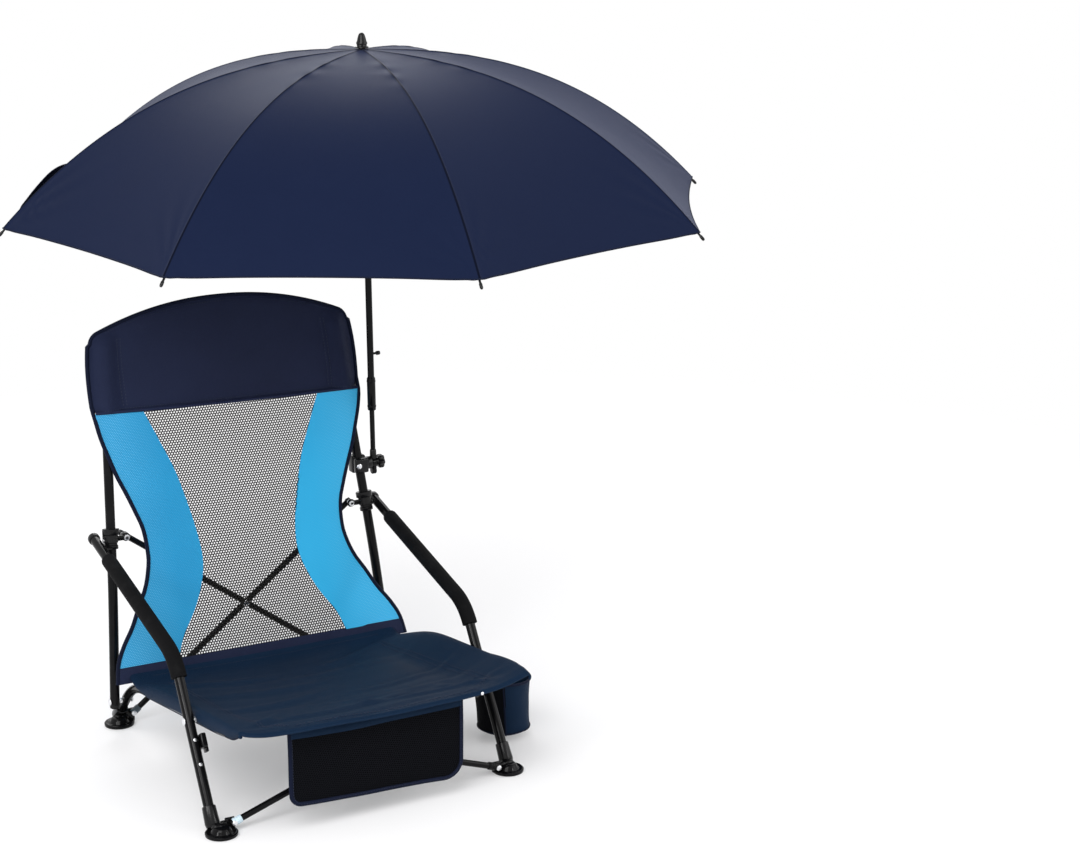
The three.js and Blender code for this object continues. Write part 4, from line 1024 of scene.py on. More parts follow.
def foldHeight(x, y):
    total = 0.0
    for (ax, ay), (bx, by), width, height in seatFolds:
        dx, dy = bx - ax, by - ay
        length = math.hypot(dx, dy)
        along = ((x - ax) * dx + (y - ay) * dy) / (length * length)
        aside = ((x - ax) * dy - (y - ay) * dx) / length
        aside += 0.006 * math.sin(along * 5 + ax * 20)
        taper = max(0.0, 1 - (2 * min(1.4, max(-0.4, along)) - 1) ** 2 / 1.3)
        near = aside / width
        total += height * taper * (math.exp(-near * near) - 0.55 * math.exp(-(near - 1.7) ** 2))
    return total


def seatRidge(across, y):
    s = seat
    height = smoothTable(s["rightRidge"] if across > 0 else s["leftRidge"], y)
    inward = (1 - abs(across)) * railX
    # behind the ridge the cloth first dips and then joins the hollow
    return height * (math.exp(-(inward / s["ridgeWidth"]) ** 1.5)
        - 0.16 * math.exp(-((inward - 0.055) / 0.022) ** 2))


def seatHeight(across, y):
    s = seat
    x = across * railX
    frontShare = max(0.0, min(1.0, 1 - (y - s["frontY"]) / 0.19))
    backShare = max(0.0, min(1.0, (s["backY"] - y) / 0.31))
    sag = s["sag"] * (1 - frontShare) * math.sqrt(backShare) + s["frontSag"] * frontShare
    hollow = (1 - across * across) * sag
    rise = 0.0125 * max(0.0, 1 - (s["backY"] - y) / 0.05) ** 2
    side = s["leftDroop"] if across < 0 else -s["rightLift"]
    corner = max(0.0, abs(across) - 0.45) / 0.55
    droop = side * corner ** (2 if across < 0 else 1.3) * max(0.0, frontShare - 0.35) / 0.65
    calm = min(1.0, (1 - abs(across)) / 0.12) * min(1.0, (s["backY"] - y) / 0.04)
    wave = foldHeight(x, y) * 1.5 + 0.0014 * noise.noise(Vector((x * 11, y * 15, 0.4)))
    return (railHeight(max(y, s["frontY"] + 0.02)) + s["lip"] - hollow + rise - droop
            + seatRidge(across, y) + wave * max(0.0, calm))


# share of the seat's width that each sleeve takes, and how the rows crowd to the front
lipShare, rowPower = 0.055, 1.12


def seatPoint(u, v):
    s = seat
    lipTurn = math.radians(s["lipAngle"])
    side = -1 if u < 0.5 else 1
    edge = min(u, 1 - u)
    across = max(-1.0, min(1.0, (u - lipShare) / (1 - 2 * lipShare) * 2 - 1))
    x = across * railX
    rounding = max(0.0, abs(x) - (railX - s["cornerRound"])) / s["cornerRound"]
    frontY = (s["frontY"] + s["cornerDepth"] * (1 - math.sqrt(max(0.0, 1 - min(1.0, rounding) ** 2)))
              * (1.0 if side < 0 else 0.2))
    y = frontY + (v ** rowPower) * (s["backY"] - frontY)
    turnShare = max(0.0, 1 - (y - frontY) / s["turnDown"])
    z = seatHeight(across, y) - s["turnDown"] * (1 - math.sqrt(max(0.0, 1 - turnShare ** 2)))
    if edge < lipShare:
        # past the end of the rail the sleeve opens out, falls together and turns into the corner
        past = max(0.0, min(1.0, (-0.026 - y) / (0.046 if side < 0 else 0.034)))
        angle = (1 - edge / lipShare) * lipTurn * (1 - (0.1 if side < 0 else 0.15) * past)
        hang = 0.5 + 0.5 * min(1.0, max(0.0, (0.4 - y) / 0.06))
        hang *= 1 - 0.78 * past * past if side < 0 else 1 - 0.62 * past
        z = z - (s["lip"] + seatRidge(side, y) / 2) * (1 - math.cos(angle)) * hang
        x = side * (railX + s["lip"] * math.sin(angle) * (1 - 0.35 * past))
    return spot(x, y, z)


seatPiece = fillSheet("seatSling", 108, 96, seatPoint, (0.5, 0.51), seat["thickness"], "seatCloth",
    "right_frame", ("seat_cloth",), 75)


def seatShare(x):
    return (x / railX + 1) / 2 * (1 - 2 * lipShare) + lipShare


def seatLine(points, lift=0.0006):
    out = []
    for x, y in points:
        back = max(0.0, (y - seat["frontY"]) / (seat["backY"] - seat["frontY"]))
        out.append(seatPoint(seatShare(x), back ** (1 / rowPower)) + Vector((0, -lift * 0.3, lift)))
    return out


def makeSeatTrim():
    bm = bmesh.new()
    # double rows of thread that hold the rail sleeves, curved at the front corners
    for side in (1, -1):
        for inset in (0.0, 0.007):
            x = 0.192 - inset
            sleeve = [(side * x, 0.36 - 0.4 * k / 40) for k in range(41)]
            turns = [k / 12 * math.pi / 2 for k in range(1, 11)]
            hook = [(side * (x - 0.03 * math.sin(a)), -0.04 - 0.042 * (1 - math.cos(a))) for a in turns]
            stitches(bm, seatLine(sleeve + hook), 0.004, 0.002, 0.00065)
    front = [(-0.15 + 0.3 * k / 50, -0.0715) for k in range(51)]
    stitches(bm, seatLine(front), 0.004, 0.002, 0.0006)
    rear = [(-0.205 + 0.41 * k / 60, 0.4) for k in range(61)]
    stitches(bm, seatLine(rear))
    threads = settle(bm, "seatStitches", ["sewingThread"], "right_frame")
    # rolled hem along the front and sides
    hem = [seatPoint(0.001 + 0.998 * k / 120, 0.0) + Vector((0, 0.0004, 0)) for k in range(121)]
    roll = cord("seatFrontHem", hem, 0.0019, 12, "seatCloth")
    # press stud in the front hem
    bm = bmesh.new()
    stud = seatPoint(seatShare(0.1506), 0.0)
    domeHead(bm, stud + Vector((0, -0.0014, 0.0006)), (0, -1, 0), 0.0026, 0.0012)
    pieces = [threads, roll, settle(bm, "seatStud", ["rivetMetal"], "right_frame")]
    for side in (1, -1):
        u = 0.001 if side < 0 else 0.999
        line = [seatPoint(u, k / 80) for k in range(81)]
        pieces.append(cord(sideWords[side] + "SeatHem", line, 0.0017, 10))
    return pieces


seatPieces = [seatPiece] + makeSeatTrim()
print("seat made:", len(seatPieces))


# front pocket of net with a bound edge
pocket = {"half": 0.1415, "middle": -0.0085, "lowZ": 0.035, "tilt": 0.012, "y": -0.05, "round": 0.016,
    "roundRight": 0.03, "bulge": 0.0045, "band": 0.012, "bandDrop": 0.01}


def pocketTop(x):
    # x counts from the middle of the pocket
    return seatHeight((x + pocket["middle"]) / railX, pocket["y"]) - 0.003


def pocketLow(x):
    s = pocket
    return s["lowZ"] + s["tilt"] * (0.5 - x / (2 * s["half"]))


def pocketPoint(x, share, out=0.0):
    s = pocket
    z = pocketLow(x) + share * (pocketTop(x) - pocketLow(x))
    swell = (s["bulge"] * math.sin(share * math.pi) * (1 - (x / s["half"]) ** 2)
             + 0.0012 * noise.noise(Vector((x * 16, 0.2, z * 20))))
    return spot(x + s["middle"], s["y"] - swell - out + 0.002 * math.sin(x * 22), z)


def makePocket():
    s = pocket

    def cornerCut(x):
        # share of the height that a rounded lower corner takes
        r = s["roundRight"] if x > 0 else s["round"]
        reach = min(1.0, max(0.0, abs(x) - (s["half"] - r)) / r)
        return r * (1 - math.sqrt(1 - reach * reach)) / (pocketTop(x) - pocketLow(x))

    def rimCorner(side, r):
        # from the side down to the lower edge
        out = []
        for k in range(1, 9):
            a = k / 9 * math.pi / 2
            x = side * (s["half"] - r * (1 - math.cos(a)))
            out.append(pocketPoint(x, (r * (1 - math.sin(a))) / (pocketTop(x) - pocketLow(x)), 0.0014))
        return out

    def netPoint(u, v):
        x = (2 * u - 1) * s["half"]
        cut = cornerCut(x)
        return pocketPoint(x, cut + v * (1 - cut), 0.0022)

    net = fillSheet("pocketNetFace", 60, 28, netPoint, (0.294, 0.12), 0.0012, "pocketNet", "right_frame",
        ("front_pocket",))
    setClothMap(net, lambda co: ((co.x + co.z) * 0.7071, (co.z - co.x) * 0.7071))

    def backing(u, v):
        x = (2 * u - 1) * (s["half"] - 0.001)
        cut = 0.02 + cornerCut(x)
        return pocketPoint(x, cut + v * (1 - cut), -0.0008)

    back = fillSheet("pocketBacking", 40, 12, backing, (0.294, 0.12), 0.001, "seatCloth", "right_frame")
    shares = (0.3, 0.4, 0.5, 0.6, 0.7, 0.8, 0.9, 1.0)
    rim = [pocketPoint(-s["half"], share, 0.0012) for share in (*reversed(shares), 0.22)]
    left, right = -s["half"] + s["round"], s["half"] - s["roundRight"]
    rim += rimCorner(-1, s["round"])
    rim += [pocketPoint(left + (right - left) * k / 24, 0.0, 0.0016) for k in range(25)]
    rim += rimCorner(1, s["roundRight"])[::-1]
    rim += [pocketPoint(s["half"], share, 0.0012) for share in shares]
    edge = cord("pocketBinding", rim, 0.0036, 14, squeeze=0.75)

    def bandPoint(u, v):
        x = (2 * u - 1) * (s["half"] - 0.0005)
        top = pocketTop(x)
        share = 1 - (s["bandDrop"] + (1 - v) * s["band"]) / (top - pocketLow(x))
        return pocketPoint(x, share, 0.004 + 0.0012 * math.sin(v * math.pi))

    band = fillSheet("pocketBand", 50, 6, bandPoint, (0.294, 0.013), 0.0012, "seatCloth", "right_frame")
    bm = bmesh.new()
    inset = [p + Vector((0, -0.004, 0)) for p in rim]
    centre = spot(pocket["middle"], pocket["y"], 0.1)
    line = [p + (centre - p).normalized() * 0.0022 for p in inset]
    stitches(bm, line, 0.003, 0.0014, 0.00036)
    threads = settle(bm, "pocketStitches", ["sewingThread"], "right_frame")
    return [net, back, edge, band, threads]


pocketPieces = makePocket()


# cup holder, a soft pouch with a flat floor
cup = {"centre": (0.307, 0.14), "lowZ": 0.011, "topZ": 0.104, "radius": 0.0492, "taper": 0.89,
    "wall": 0.0016, "lean": 0.006, "netFrom": 1.17, "netTo": 4.31}


def makeCup():
    s = cup
    height = s["topZ"] - s["lowZ"]

    def wallPoint(u, v):
        angle = u * 2 * math.pi
        r = s["radius"] * (s["taper"] + (1 - s["taper"]) * v)
        r *= 1 - 0.05 * math.sin(v * math.pi) * (0.5 + 0.5 * math.cos(2 * angle + 0.6))
        r += 0.0009 * noise.noise(Vector((math.cos(angle) * 1.6, math.sin(angle) * 1.6, v * 3)))
        r -= 0.006 * max(0.0, 1 - v / 0.06) ** 2
        z = s["lowZ"] + v * height + 0.0035 * math.cos(angle - 2.9) * v
        return spot(s["centre"][0] + s["lean"] * (0.5 - v) + r * math.cos(angle),
            s["centre"][1] + r * math.sin(angle), z)

    bm = gridCloth(72, 28, wallPoint, (0.27, 0.13))
    low = [e for e in bm.edges if e.is_boundary and all(v.co.z < s["lowZ"] + 0.005 for v in e.verts)]
    bmesh.ops.contextual_create(bm, geom=low)
    thicken(bm, s["wall"])
    # the side towards the chair is of black net
    middle = spot(s["centre"][0], s["centre"][1], s["lowZ"] + 0.001)
    for f in bm.faces:
        to = f.calc_center_median() - middle
        if to.z > 0 and s["netFrom"] < math.atan2(to.y, to.x) % (2 * math.pi) < s["netTo"]:
            f.material_index = 1
    settle(bm, "cupPouch", ["seatCloth", "pocketNet"], "right_frame", ("cup_holder",), 60)
    rim = [wallPoint(k / 64, 1.0) for k in range(65)]
    base = [wallPoint(k / 64, 0.055) for k in range(65)]
    bm = bmesh.new()
    sweep(bm, rim, 0.0022, 10, closed=False)
    sweep(bm, base, 0.0013, 8, closed=False)
    for angle in (s["netTo"], s["netFrom"]):
        seam = [wallPoint(angle / (2 * math.pi), k / 20) for k in range(21)]
        sweep(bm, seam, 0.0012, 8)
    bm.loops.layers.uv.new("cloth")
    settle(bm, "cupTrim", ["bindingTape"], "right_frame")

    def tabPoint(u, v):
        # from the rail's sleeve out and down to the mouth of the pouch
        start = railX + 0.009
        x = start + (s["centre"][0] - s["radius"] - start + 0.0005) * min(1.0, u * 1.5)
        y = s["centre"][1] + 0.006 + v * 0.016
        fall = max(0.0, u - 0.35) / 0.65
        return spot(x, y, railHeight(y) - 0.006 + (s["topZ"] - 0.012 - railHeight(y) + 0.006) * fall ** 1.3)

    fillSheet("cupTab", 16, 6, tabPoint, (0.05, 0.016), 0.0022, "bindingTape", "right_frame")


makeCup()
print("pocket and cup holder made")


# umbrella
umbrella = {"pole": (0.2535, 0.515, 0.386), "forward": 0.044, "side": -0.028, "crown": 0.715,
    "radius": 0.594, "drop": 0.2484, "slope": 0.14, "curl": 2.66, "turn": 2.985, "ribs": 8, "hole": 0.0061,
    "hub": 0.0131, "runner": 0.17, "ear": 0.0159, "beside": 0.0036, "tip": 0.015, "lift": 0.0044,
    "dip": 0.011, "gape": 0.004, "reach": 0.0075, "wrinkle": 0.00055, "pucker": 0.00042}
lean = (Matrix.Translation(spot(*umbrella["pole"])) @ Matrix.Rotation(umbrella["forward"], 4, "X")
        @ Matrix.Rotation(umbrella["side"], 4, "Y"))
goreStep = 2 * math.pi / umbrella["ribs"]
poleWay = (lean.to_3x3() @ Vector((0, 0, 1))).normalized()


def ribDrop(r):
    t = r / umbrella["radius"]
    return umbrella["drop"] * (umbrella["slope"] * t + (1 - umbrella["slope"]) * t ** umbrella["curl"])


def onUmbrella(x, y, z):
    return lean @ Vector((x, y, z))


def canopySpot(angle, r):
    # between two ribs the cloth runs straight, a little hollow, with a dipped hem
    s, step = umbrella, goreStep
    gore = math.floor((angle - s["turn"]) / step)
    within = (angle - s["turn"]) / step - gore
    share = r / s["radius"]
    ends = []
    for k in (0, 1):
        a = s["turn"] + (gore + k) * step
        ends.append(Vector((r * math.cos(a), r * math.sin(a), s["crown"] - ribDrop(r) + s["lift"])))
    arc = 4 * within * (1 - within)
    p = ends[0].lerp(ends[1], within)
    flat = math.hypot(p.x, p.y)
    pull = 1 - arc * share ** 2 * s["dip"] / max(flat, 1e-6)
    aside = min(within, 1 - within) * flat * step
    seam = math.exp(-(aside / 0.0022) ** 2)
    # small gathers along the seams near the crown, and creases that spread from the rib tips
    gather = (s["pucker"] * math.sin(r * 560 + 2 * gore) * math.exp(-aside / 0.01)
              * math.exp(-((share - 0.27) / 0.11) ** 2))
    fromTip = math.hypot(aside, s["radius"] - r)
    spread = math.atan2(aside, s["radius"] - r + 1e-6)
    crease = (s["wrinkle"] * math.sin(spread * 13 + gore) * math.exp(-((fromTip - 0.06) / 0.05) ** 2)
              * min(1.0, aside / 0.016))
    p.z += (-s["gape"] * arc * math.sin(math.pi * min(1.0, share)) ** 0.7
            + 0.0011 * seam * min(1.0, share * 6) + gather + crease)
    return Vector((p.x * pull, p.y * pull, p.z))


def crowded(x):
    # the columns of each gore lie closer together near its rib
    return math.copysign(abs(2 * x) ** 1.6, x)


def makeCanopy():
    s, step = umbrella, goreStep
    pieces = []
    for rib in range(s["ribs"]):
        middle = s["turn"] + rib * step
        bm = bmesh.new()
        bmesh.ops.create_grid(bm, x_segments=34, y_segments=64, size=0.5)
        cloth = bm.loops.layers.uv.new("cloth")
        for face in bm.faces:
            for loop in face.loops:
                v = loop.vert.co.y + 0.5
                loop[cloth].uv = (crowded(loop.vert.co.x) * v * 0.236, v * 0.66)
        normals = {}
        for vert in bm.verts:
            angle = middle + crowded(vert.co.x) * step / 2
            r = s["hole"] + (s["radius"] + s["reach"] - s["hole"]) * (vert.co.y + 0.5)
            p = lean @ canopySpot(angle, r)
            d = 0.0009
            aside = (canopySpot(angle + d / max(r, 0.02), r) - canopySpot(angle - d / max(r, 0.02), r))
            outward = (canopySpot(angle, r + d) - canopySpot(angle, max(r - d, 0.001)))
            normal = (lean.to_3x3() @ outward.cross(aside)).normalized()
            if normal.dot(poleWay) < 0:
                normal = -normal
            vert.co = p
            normals[(round(p.x, 5), round(p.y, 5), round(p.z, 5))] = normal
        bmesh.ops.recalc_face_normals(bm, faces=bm.faces[:])
        if sum(f.normal.dot(poleWay) for f in bm.faces) < 0:
            bmesh.ops.reverse_faces(bm, faces=bm.faces[:])
        top = {v: normals[(round(v.co.x, 5), round(v.co.y, 5), round(v.co.z, 5))] for v in bm.verts}
        bm.verts.index_update()
        before = list(bm.verts)
        bmesh.ops.solidify(bm, geom=bm.faces[:], thickness=0.0009)
        bm.verts.index_update()
        kept = {vert.index: top[vert] for vert in before}
        mesh = bpy.data.meshes.new(f"canopyGore{rib + 1}")
        places = [v.co.copy() for v in bm.verts]
        bm.to_mesh(mesh)
        bm.free()
        mesh.materials.append(finish["canopyCloth"])
        mesh.polygons.foreach_set("use_smooth", [True] * len(mesh.polygons))
        tree = KDTree(len(kept))
        for index, normal in kept.items():
            tree.insert(places[index], index)
        tree.balance()
        custom = [kept[index] if index in kept else -kept[tree.find(place)[1]]
                  for index, place in enumerate(places)]
        mesh.normals_split_custom_set_from_vertices(custom)
        piece = addObject(f"canopyGore{rib + 1}", mesh)
        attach(piece, f"rib_body_{rib + 1}")
        if rib == 0:
            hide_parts("canopy_cloth")
        pieces.append((piece, middle))
    return pieces


def makeHem():
    s, step = umbrella, goreStep
    pieces = []
    for rib in range(s["ribs"]):
        middle = s["turn"] + rib * step
        edge = [canopySpot(middle + (k / 24 - 1) * step / 2, s["radius"] + s["reach"]) for k in range(49)]
        line = [lean @ (p + Vector((0, 0, -0.0006))) for p in edge]
        pieces.append((cord(f"canopyHem{rib + 1}", line, 0.0013, 8, body=f"rib_body_{rib + 1}"), middle))
    return pieces


def makeRibs():
    s, step = umbrella, goreStep
    share, stretchRadius = 0.36, 0.0015
    for rib in range(s["ribs"]):
        a = s["turn"] + rib * step
        outward, aside = Vector((math.cos(a), math.sin(a), 0)), Vector((-math.sin(a), math.cos(a), 0))
        line = []
        for k in range(29):
            r = s["hub"] + (s["radius"] + s["tip"] - s["hub"]) * k / 28
            line.append(lean @ (outward * r + Vector((0, 0, s["crown"] - ribDrop(r)))))
        bm = bmesh.new()
        sweep(bm, line, 0.0018, 10)
        way = (line[-1] - line[-2]).normalized()
        tip = [line[-1] - way * 0.01, line[-1] - way * 0.008, line[-1] - way * 0.002, line[-1]]
        sweep(bm, tip, 0.0026, 12, [0.0019, 0.0026, 0.0026, 0.0014], None, 1)
        jointR = s["radius"] * share
        jointZ = Vector((0, 0, s["crown"] - ribDrop(jointR)))
        joint = lean @ (outward * jointR + jointZ)
        sideWay = (lean.to_3x3() @ aside).normalized()
        sweep(bm, [joint - sideWay * 0.0026, joint + sideWay * 0.0026], 0.0021, 10, None, None, 1)
        settle(bm, f"canopyRib{rib + 1}", ["paintedSteel", "mouldedPlastic"], f"rib_body_{rib + 1}",
            (f"rib_{rib + 1}",))
        low = outward * s["ear"] + aside * s["beside"] + Vector((0, 0, s["crown"] - s["runner"] - 0.003))
        high = outward * jointR + aside * s["beside"] + jointZ
        bm = bmesh.new()
        end = lean @ high
        sweep(bm, [lean @ low, end], stretchRadius, 10)
        sweep(bm, [end - sideWay * 0.0014, end + sideWay * 0.0016], 0.0024, 12, None, None, 1)
        settle(bm, f"stretcher{rib + 1}", ["paintedSteel", "rivetMetal"], f"stretcher_body_{rib + 1}",
            (f"stretcher_{rib + 1}",))


def makePole():
    s = umbrella
    bm = bmesh.new()
    crown = s["crown"]
    turnProfile(bm, [(0, -0.0066), (0.011, -0.0066), (0.012, -0.0058), (0.012, -0.003), (0.0112, -0.0022),
        (0.0055, -0.0022), (0.0055, 0.0058), (0.0106, 0.006), (0.0112, 0.0068), (0.0106, 0.008),
        (0.0086, 0.0088), (0.0082, 0.0112), (0.0092, 0.0122), (0.0092, 0.015), (0.008, 0.0166),
        (0.007, 0.0215), (0.0056, 0.0262), (0.0042, 0.029), (0.0022, 0.0306), (0, 0.031)],
        onUmbrella(0, 0, crown), poleWay, 36)
    settle(bm, "crownFinial", ["mouldedPlastic"], "upper_mast", ("crown",))

    bm = bmesh.new()
    top = crown - 0.0069
    turnProfile(bm, [(0.0048, 0.0955), (0.0068, 0.0955), (0.0074, 0.0965), (0.0074, 0.152), (0.007, 0.1532),
        (0.006, 0.1545), (0.0057, 0.156), (0.0057, top), (0, top)], onUmbrella(0, 0, 0), poleWay, 32)
    for z in (0.1, 0.145):
        ring = [(0.0074, z), (0.0078, z + 0.0006), (0.0078, z + 0.0036), (0.0074, z + 0.0042)]
        turnProfile(bm, ring, onUmbrella(0, 0, 0), poleWay, 32)
    settle(bm, "upperPole", ["paintedSteel"], "upper_mast", ("upper_pole",))

    sideways = (lean.to_3x3() @ Vector((1, 0, 0))).normalized()
    bm = bmesh.new()
    turnProfile(bm, [(0, 0), (0.002, 0), (0.002, 0.0045), (0.0032, 0.0052), (0.0036, 0.0062),
        (0.0036, 0.0108), (0.003, 0.012), (0, 0.0122)], onUmbrella(0.0056, 0, 0.196), sideways, 20)
    settle(bm, "poleStop", ["mouldedPlastic"], "upper_mast", ("lock_button",))

    bm = bmesh.new()
    sweep(bm, [onUmbrella(0, 0, 0.004), onUmbrella(0, 0, 0.33)], 0.0044, 24)
    turnProfile(bm, [(0.004, -0.0044), (0.0078, -0.0044), (0.0086, -0.0036), (0.0086, 0.0036),
        (0.0078, 0.0044), (0.004, 0.0044), (0.004, -0.0044)], onUmbrella(0, 0, 0), sideways, 32)
    turnProfile(bm, [(0.0043, 0.0), (0.006, 0.001), (0.0056, 0.016), (0.0046, 0.0175)],
        onUmbrella(0, 0, 0.006), poleWay, 28, 1)
    # flat rounded end below the screw
    softBlock(bm, (0.0086, 0.0126, 0.022), onUmbrella(0, 0, -0.004), lean.to_3x3(), 0.0026)
    turnProfile(bm, [(0, -0.0043), (0.0052, -0.0043), (0.0063, -0.0032), (0.0063, 0.0032), (0.0052, 0.0043),
        (0, 0.0043)], onUmbrella(0, 0, -0.0155), sideways, 28)
    settle(bm, "lowerPole", ["paintedSteel", "mouldedPlastic"], "lower_mast", ("lower_pole",))

    bm = bmesh.new()
    turnProfile(bm, [(0.0061, -0.044), (0.0105, -0.044), (0.0118, -0.043), (0.012, -0.041), (0.012, -0.034),
        (0.01, -0.031), (0.0096, -0.022), (0.01, -0.012), (0.0118, -0.0085), (0.0146, -0.0062),
        (0.015, -0.005), (0.015, -0.0008), (0.0142, 0.0), (0.0061, 0.0), (0.0061, -0.044)],
        onUmbrella(0, 0, crown - s["runner"]), poleWay, 36)
    settle(bm, "runnerCollar", ["mouldedPlastic"], "runner_body", ("runner",))


clampShape = {"z": 0.386, "size": (0.025, 0.034, 0.031), "screw": 0.0032, "screwEnd": 0.2725}


def makeClamp():
    s = clampShape
    middle = uprightAt(1, s["z"])
    pole = spot(*umbrella["pole"])
    bm = bmesh.new()
    # two jaws with a slot at the front, and the hub that carries the screw
    wide, deep, tall = s["size"]
    for size, y, edge in (((wide, deep * 0.56, tall), 0.0068, 0.003),
            ((wide, deep * 0.34, tall * 0.84), -0.0112, 0.003),
            ((wide * 0.7, 0.006, tall * 0.5), -0.0045, 0.001)):
        softBlock(bm, size, middle + Vector((0, y, 0)), None, edge)
    turnProfile(bm, [(0, -0.004), (0.0105, -0.004), (0.0112, 0.0), (0.011, 0.01), (0.01, 0.0112),
        (0.0034, 0.0112)], Vector((pole.x - 0.0163, pole.y, pole.z)), (1, 0, 0), 32)
    screw = [Vector((x, pole.y, pole.z)) for x in (pole.x - 0.006, spot(s["screwEnd"], 0, 0).x)]
    sweep(bm, screw, s["screw"], 16, None, None, 1)
    bolt = [middle + Vector((-0.006, y, 0)) for y in (-0.021, 0.019)]
    sweep(bm, bolt, 0.0026, 14, None, None, 1)
    domeHead(bm, middle + Vector((-0.006, -0.0168, 0)), (0, -1, 0), 0.0048, 0.0022, 1)
    settle(bm, "umbrellaClamp", ["mouldedPlastic", "rivetMetal"], "clamp", ("umbrella_clamp",))

    bm = bmesh.new()
    made = turnProfile(bm, [(0.0036, 0.0), (0.0062, 0.0), (0.007, 0.0012), (0.0074, 0.0028),
        (0.0108, 0.0036), (0.0114, 0.005), (0.0114, 0.0108), (0.0106, 0.0126), (0.008, 0.0134),
        (0.0036, 0.0136)], Vector((pole.x + 0.0053, pole.y, pole.z)), (1, 0, 0), 60)
    for v in made:
        d = Vector((0, v.co.y - pole.y, v.co.z - pole.z))
        r = d.length
        if r > 0.0072:
            angle = math.atan2(d.z, d.y)
            share = 1 + 0.1 * math.cos(6 * angle) * (r - 0.0072) / 0.0042
            v.co.y = pole.y + d.y * share
            v.co.z = pole.z + d.z * share
    settle(bm, "clampKnob", ["mouldedPlastic"], "knob", ("clamp_knob",))


# closing strap, sewn to the cloth at one end and lying loose beside the left rib
tie = {"angle": [(0.0, 143.0), (0.25, 148.0), (0.5, 153.0), (0.75, 158.0), (1.0, 164.5)],
    "radius": [(0.0, 0.553), (0.25, 0.562), (0.5, 0.575), (0.75, 0.589), (1.0, 0.592)],
    "up": [(0.0, 0.003), (0.25, 0.021), (0.5, 0.03), (0.75, 0.026), (1.0, 0.013)], "width": 0.014,
    "clear": 0.0022}


def makeTie():
    def tiePoint(u, v):
        s = tie
        angle = math.radians(smoothTable(s["angle"], u))
        r = min(umbrella["radius"] + 0.004, smoothTable(s["radius"], u) + s["width"] * v)
        up = s["clear"] + smoothTable(s["up"], u) * (1 - v) * (1 + 0.2 * math.sin(v * math.pi))
        return lean @ (canopySpot(angle, r) + Vector((0, 0, up)))

    strap = fillSheet("canopyTie", 40, 8, tiePoint, (0.225, 0.034), 0.0012, "bindingTape", "rib_body_1")
    return [(strap, umbrella["turn"])]


gores = makeCanopy() + makeHem() + makeTie()
makeRibs()
makePole()
makeClamp()
print("umbrella made")


# each soft piece gets a mesh of its own
motion = {"foldTravel": 0.102356, "railSpan": 0.461, "uprightSpan": 0.43, "closing": 0.875}
seatAnchor = tuple(spot(railX, 0.1, 0.1))
backAnchor = tuple(spot(0.2149, 0.54, 0.5))
for group, anchor, span in ((seatPieces + pocketPieces, seatAnchor, motion["railSpan"]),
                            (backPieces, backAnchor, motion["uprightSpan"])):
    for piece in group:
        (span - motion["foldTravel"]) / span
        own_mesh(piece)
for piece, angle in gores:
    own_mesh(piece)


# stage, light and camera, with the focal length in pixels of the photograph's width
camera = {"place": (-1.2787888, -2.8283645, 1.394847), "yaw": 29.1816, "pitch": 14.615, "focal": 2168.1767,
    "width": 1080}


def makeCamera():
    s = camera
    data = bpy.data.cameras.new("photoCamera")
    data.sensor_width = 36.0
    data.lens = s["focal"] * 36.0 / s["width"]
    data.clip_start = 0.05
    obj = addObject("photoCamera", data)
    yaw, pitch = math.radians(s["yaw"]), math.radians(s["pitch"])
    way = Vector((math.sin(yaw) * math.cos(pitch), math.cos(yaw) * math.cos(pitch), -math.sin(pitch)))
    obj.location = spot(*s["place"])
    obj.rotation_euler = way.to_track_quat("-Z", "Y").to_euler()
    bpy.context.scene.camera = obj


light = {"worldFill": 0.8, "key": (-1.9, -2.0, 2.6, 68.0, 2.0), "fill": (2.6, -1.8, 1.9, 28.0, 2.2),
    "rim": (0.8, 2.6, 2.8, 44.0, 1.8), "glintLeft": (-2.9, -1.6, 1.5, 15.0, 0.5),
    "glintRight": (1.5, -3.0, 1.5, 9.0, 0.4), "floor": (0.9, 0.895, 0.905), "glow": 0.28, "glowFrom": 0.95,
    "glowTo": 2.4}


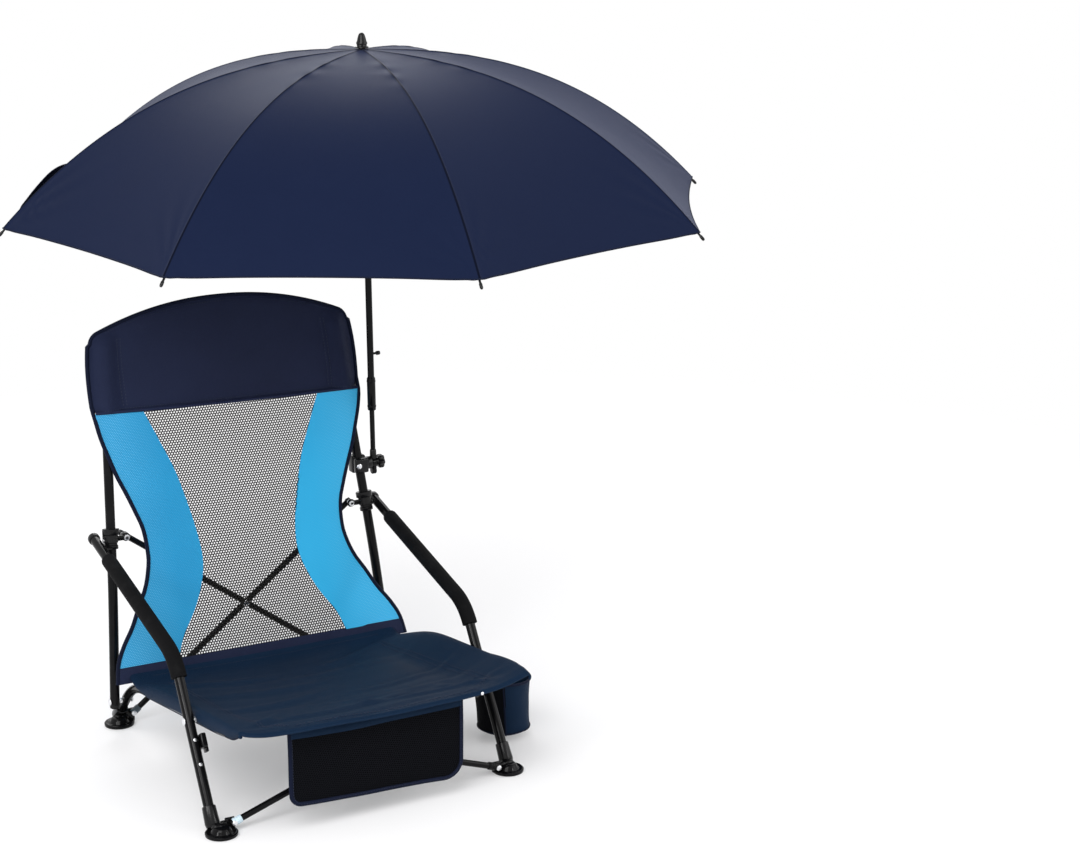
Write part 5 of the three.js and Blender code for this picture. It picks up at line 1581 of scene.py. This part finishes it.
def seenRay(tree):
    # 1 for rays of the camera, of reflections and through gaps in cloth
    path = tree.nodes.new("ShaderNodeLightPath")
    rays = [Wire(tree, path.outputs[f"Is {kind} Ray"]) for kind in ("Camera", "Glossy", "Transmission")]
    return rays[0].most(rays[1]).most(rays[2])


def makeLights():
    for name in ("key", "fill", "rim", "glintLeft", "glintRight"):
        x, y, z, power, size = light[name]
        data = bpy.data.lights.new(name, "AREA")
        data.energy = power
        data.size = size
        data.color = (1, 1, 1)
        obj = addObject(name, data)
        obj.location = (x, y, z)
        obj.rotation_euler = (Vector((0, 0, 0.45)) - Vector((x, y, z))).to_track_quat("-Z", "Y").to_euler()
    world = bpy.data.worlds.new("studio")
    bpy.context.scene.world = world
    world.use_nodes = True
    tree = world.node_tree
    level = light["worldFill"] + seenRay(tree) * (1.0 - light["worldFill"])
    back = tree.nodes["Background"]
    back.inputs["Color"].default_value = (1, 1, 1, 1)
    tree.links.new(level.socket, back.inputs["Strength"])


def makeFloor():
    bm = bmesh.new()
    bmesh.ops.create_circle(bm, cap_ends=True, radius=14, segments=64)
    bmesh.ops.translate(bm, verts=bm.verts[:], vec=(0, 0, -0.0004))
    mesh = bpy.data.meshes.new("studioFloor")
    bm.to_mesh(mesh)
    bm.free()
    material, tree, shader = startMaterial("studioFloor", {"Roughness": 0.8, "Specular IOR Level": 0.1})
    shader.inputs["Base Color"].default_value = rgba(light["floor"])
    # what the camera sees of the floor turns into the white background away from the chair
    glow = tree.nodes.new("ShaderNodeEmission")
    away = makeNode(tree, "ShaderNodeVectorMath", {"operation": "LENGTH"}, {0: objectPoint(tree)}, 1)
    share = mapRange(tree, {0: away, 1: light["glowFrom"], 2: light["glowTo"], 3: light["glow"], 4: 1.0})
    blend = tree.nodes.new("ShaderNodeMixShader")
    tree.links.new((seenRay(tree) * share).socket, blend.inputs[0])
    tree.links.new(shader.outputs[0], blend.inputs[1])
    tree.links.new(glow.outputs[0], blend.inputs[2])
    tree.links.new(blend.outputs[0], tree.nodes["Material Output"].inputs["Surface"])
    mesh.materials.append(material)
    addObject("studioFloor", mesh)


makeCamera()
makeLights()
makeFloor()
bpy.context.scene.view_settings.view_transform = "Standard"
print("camera, lights and floor made")
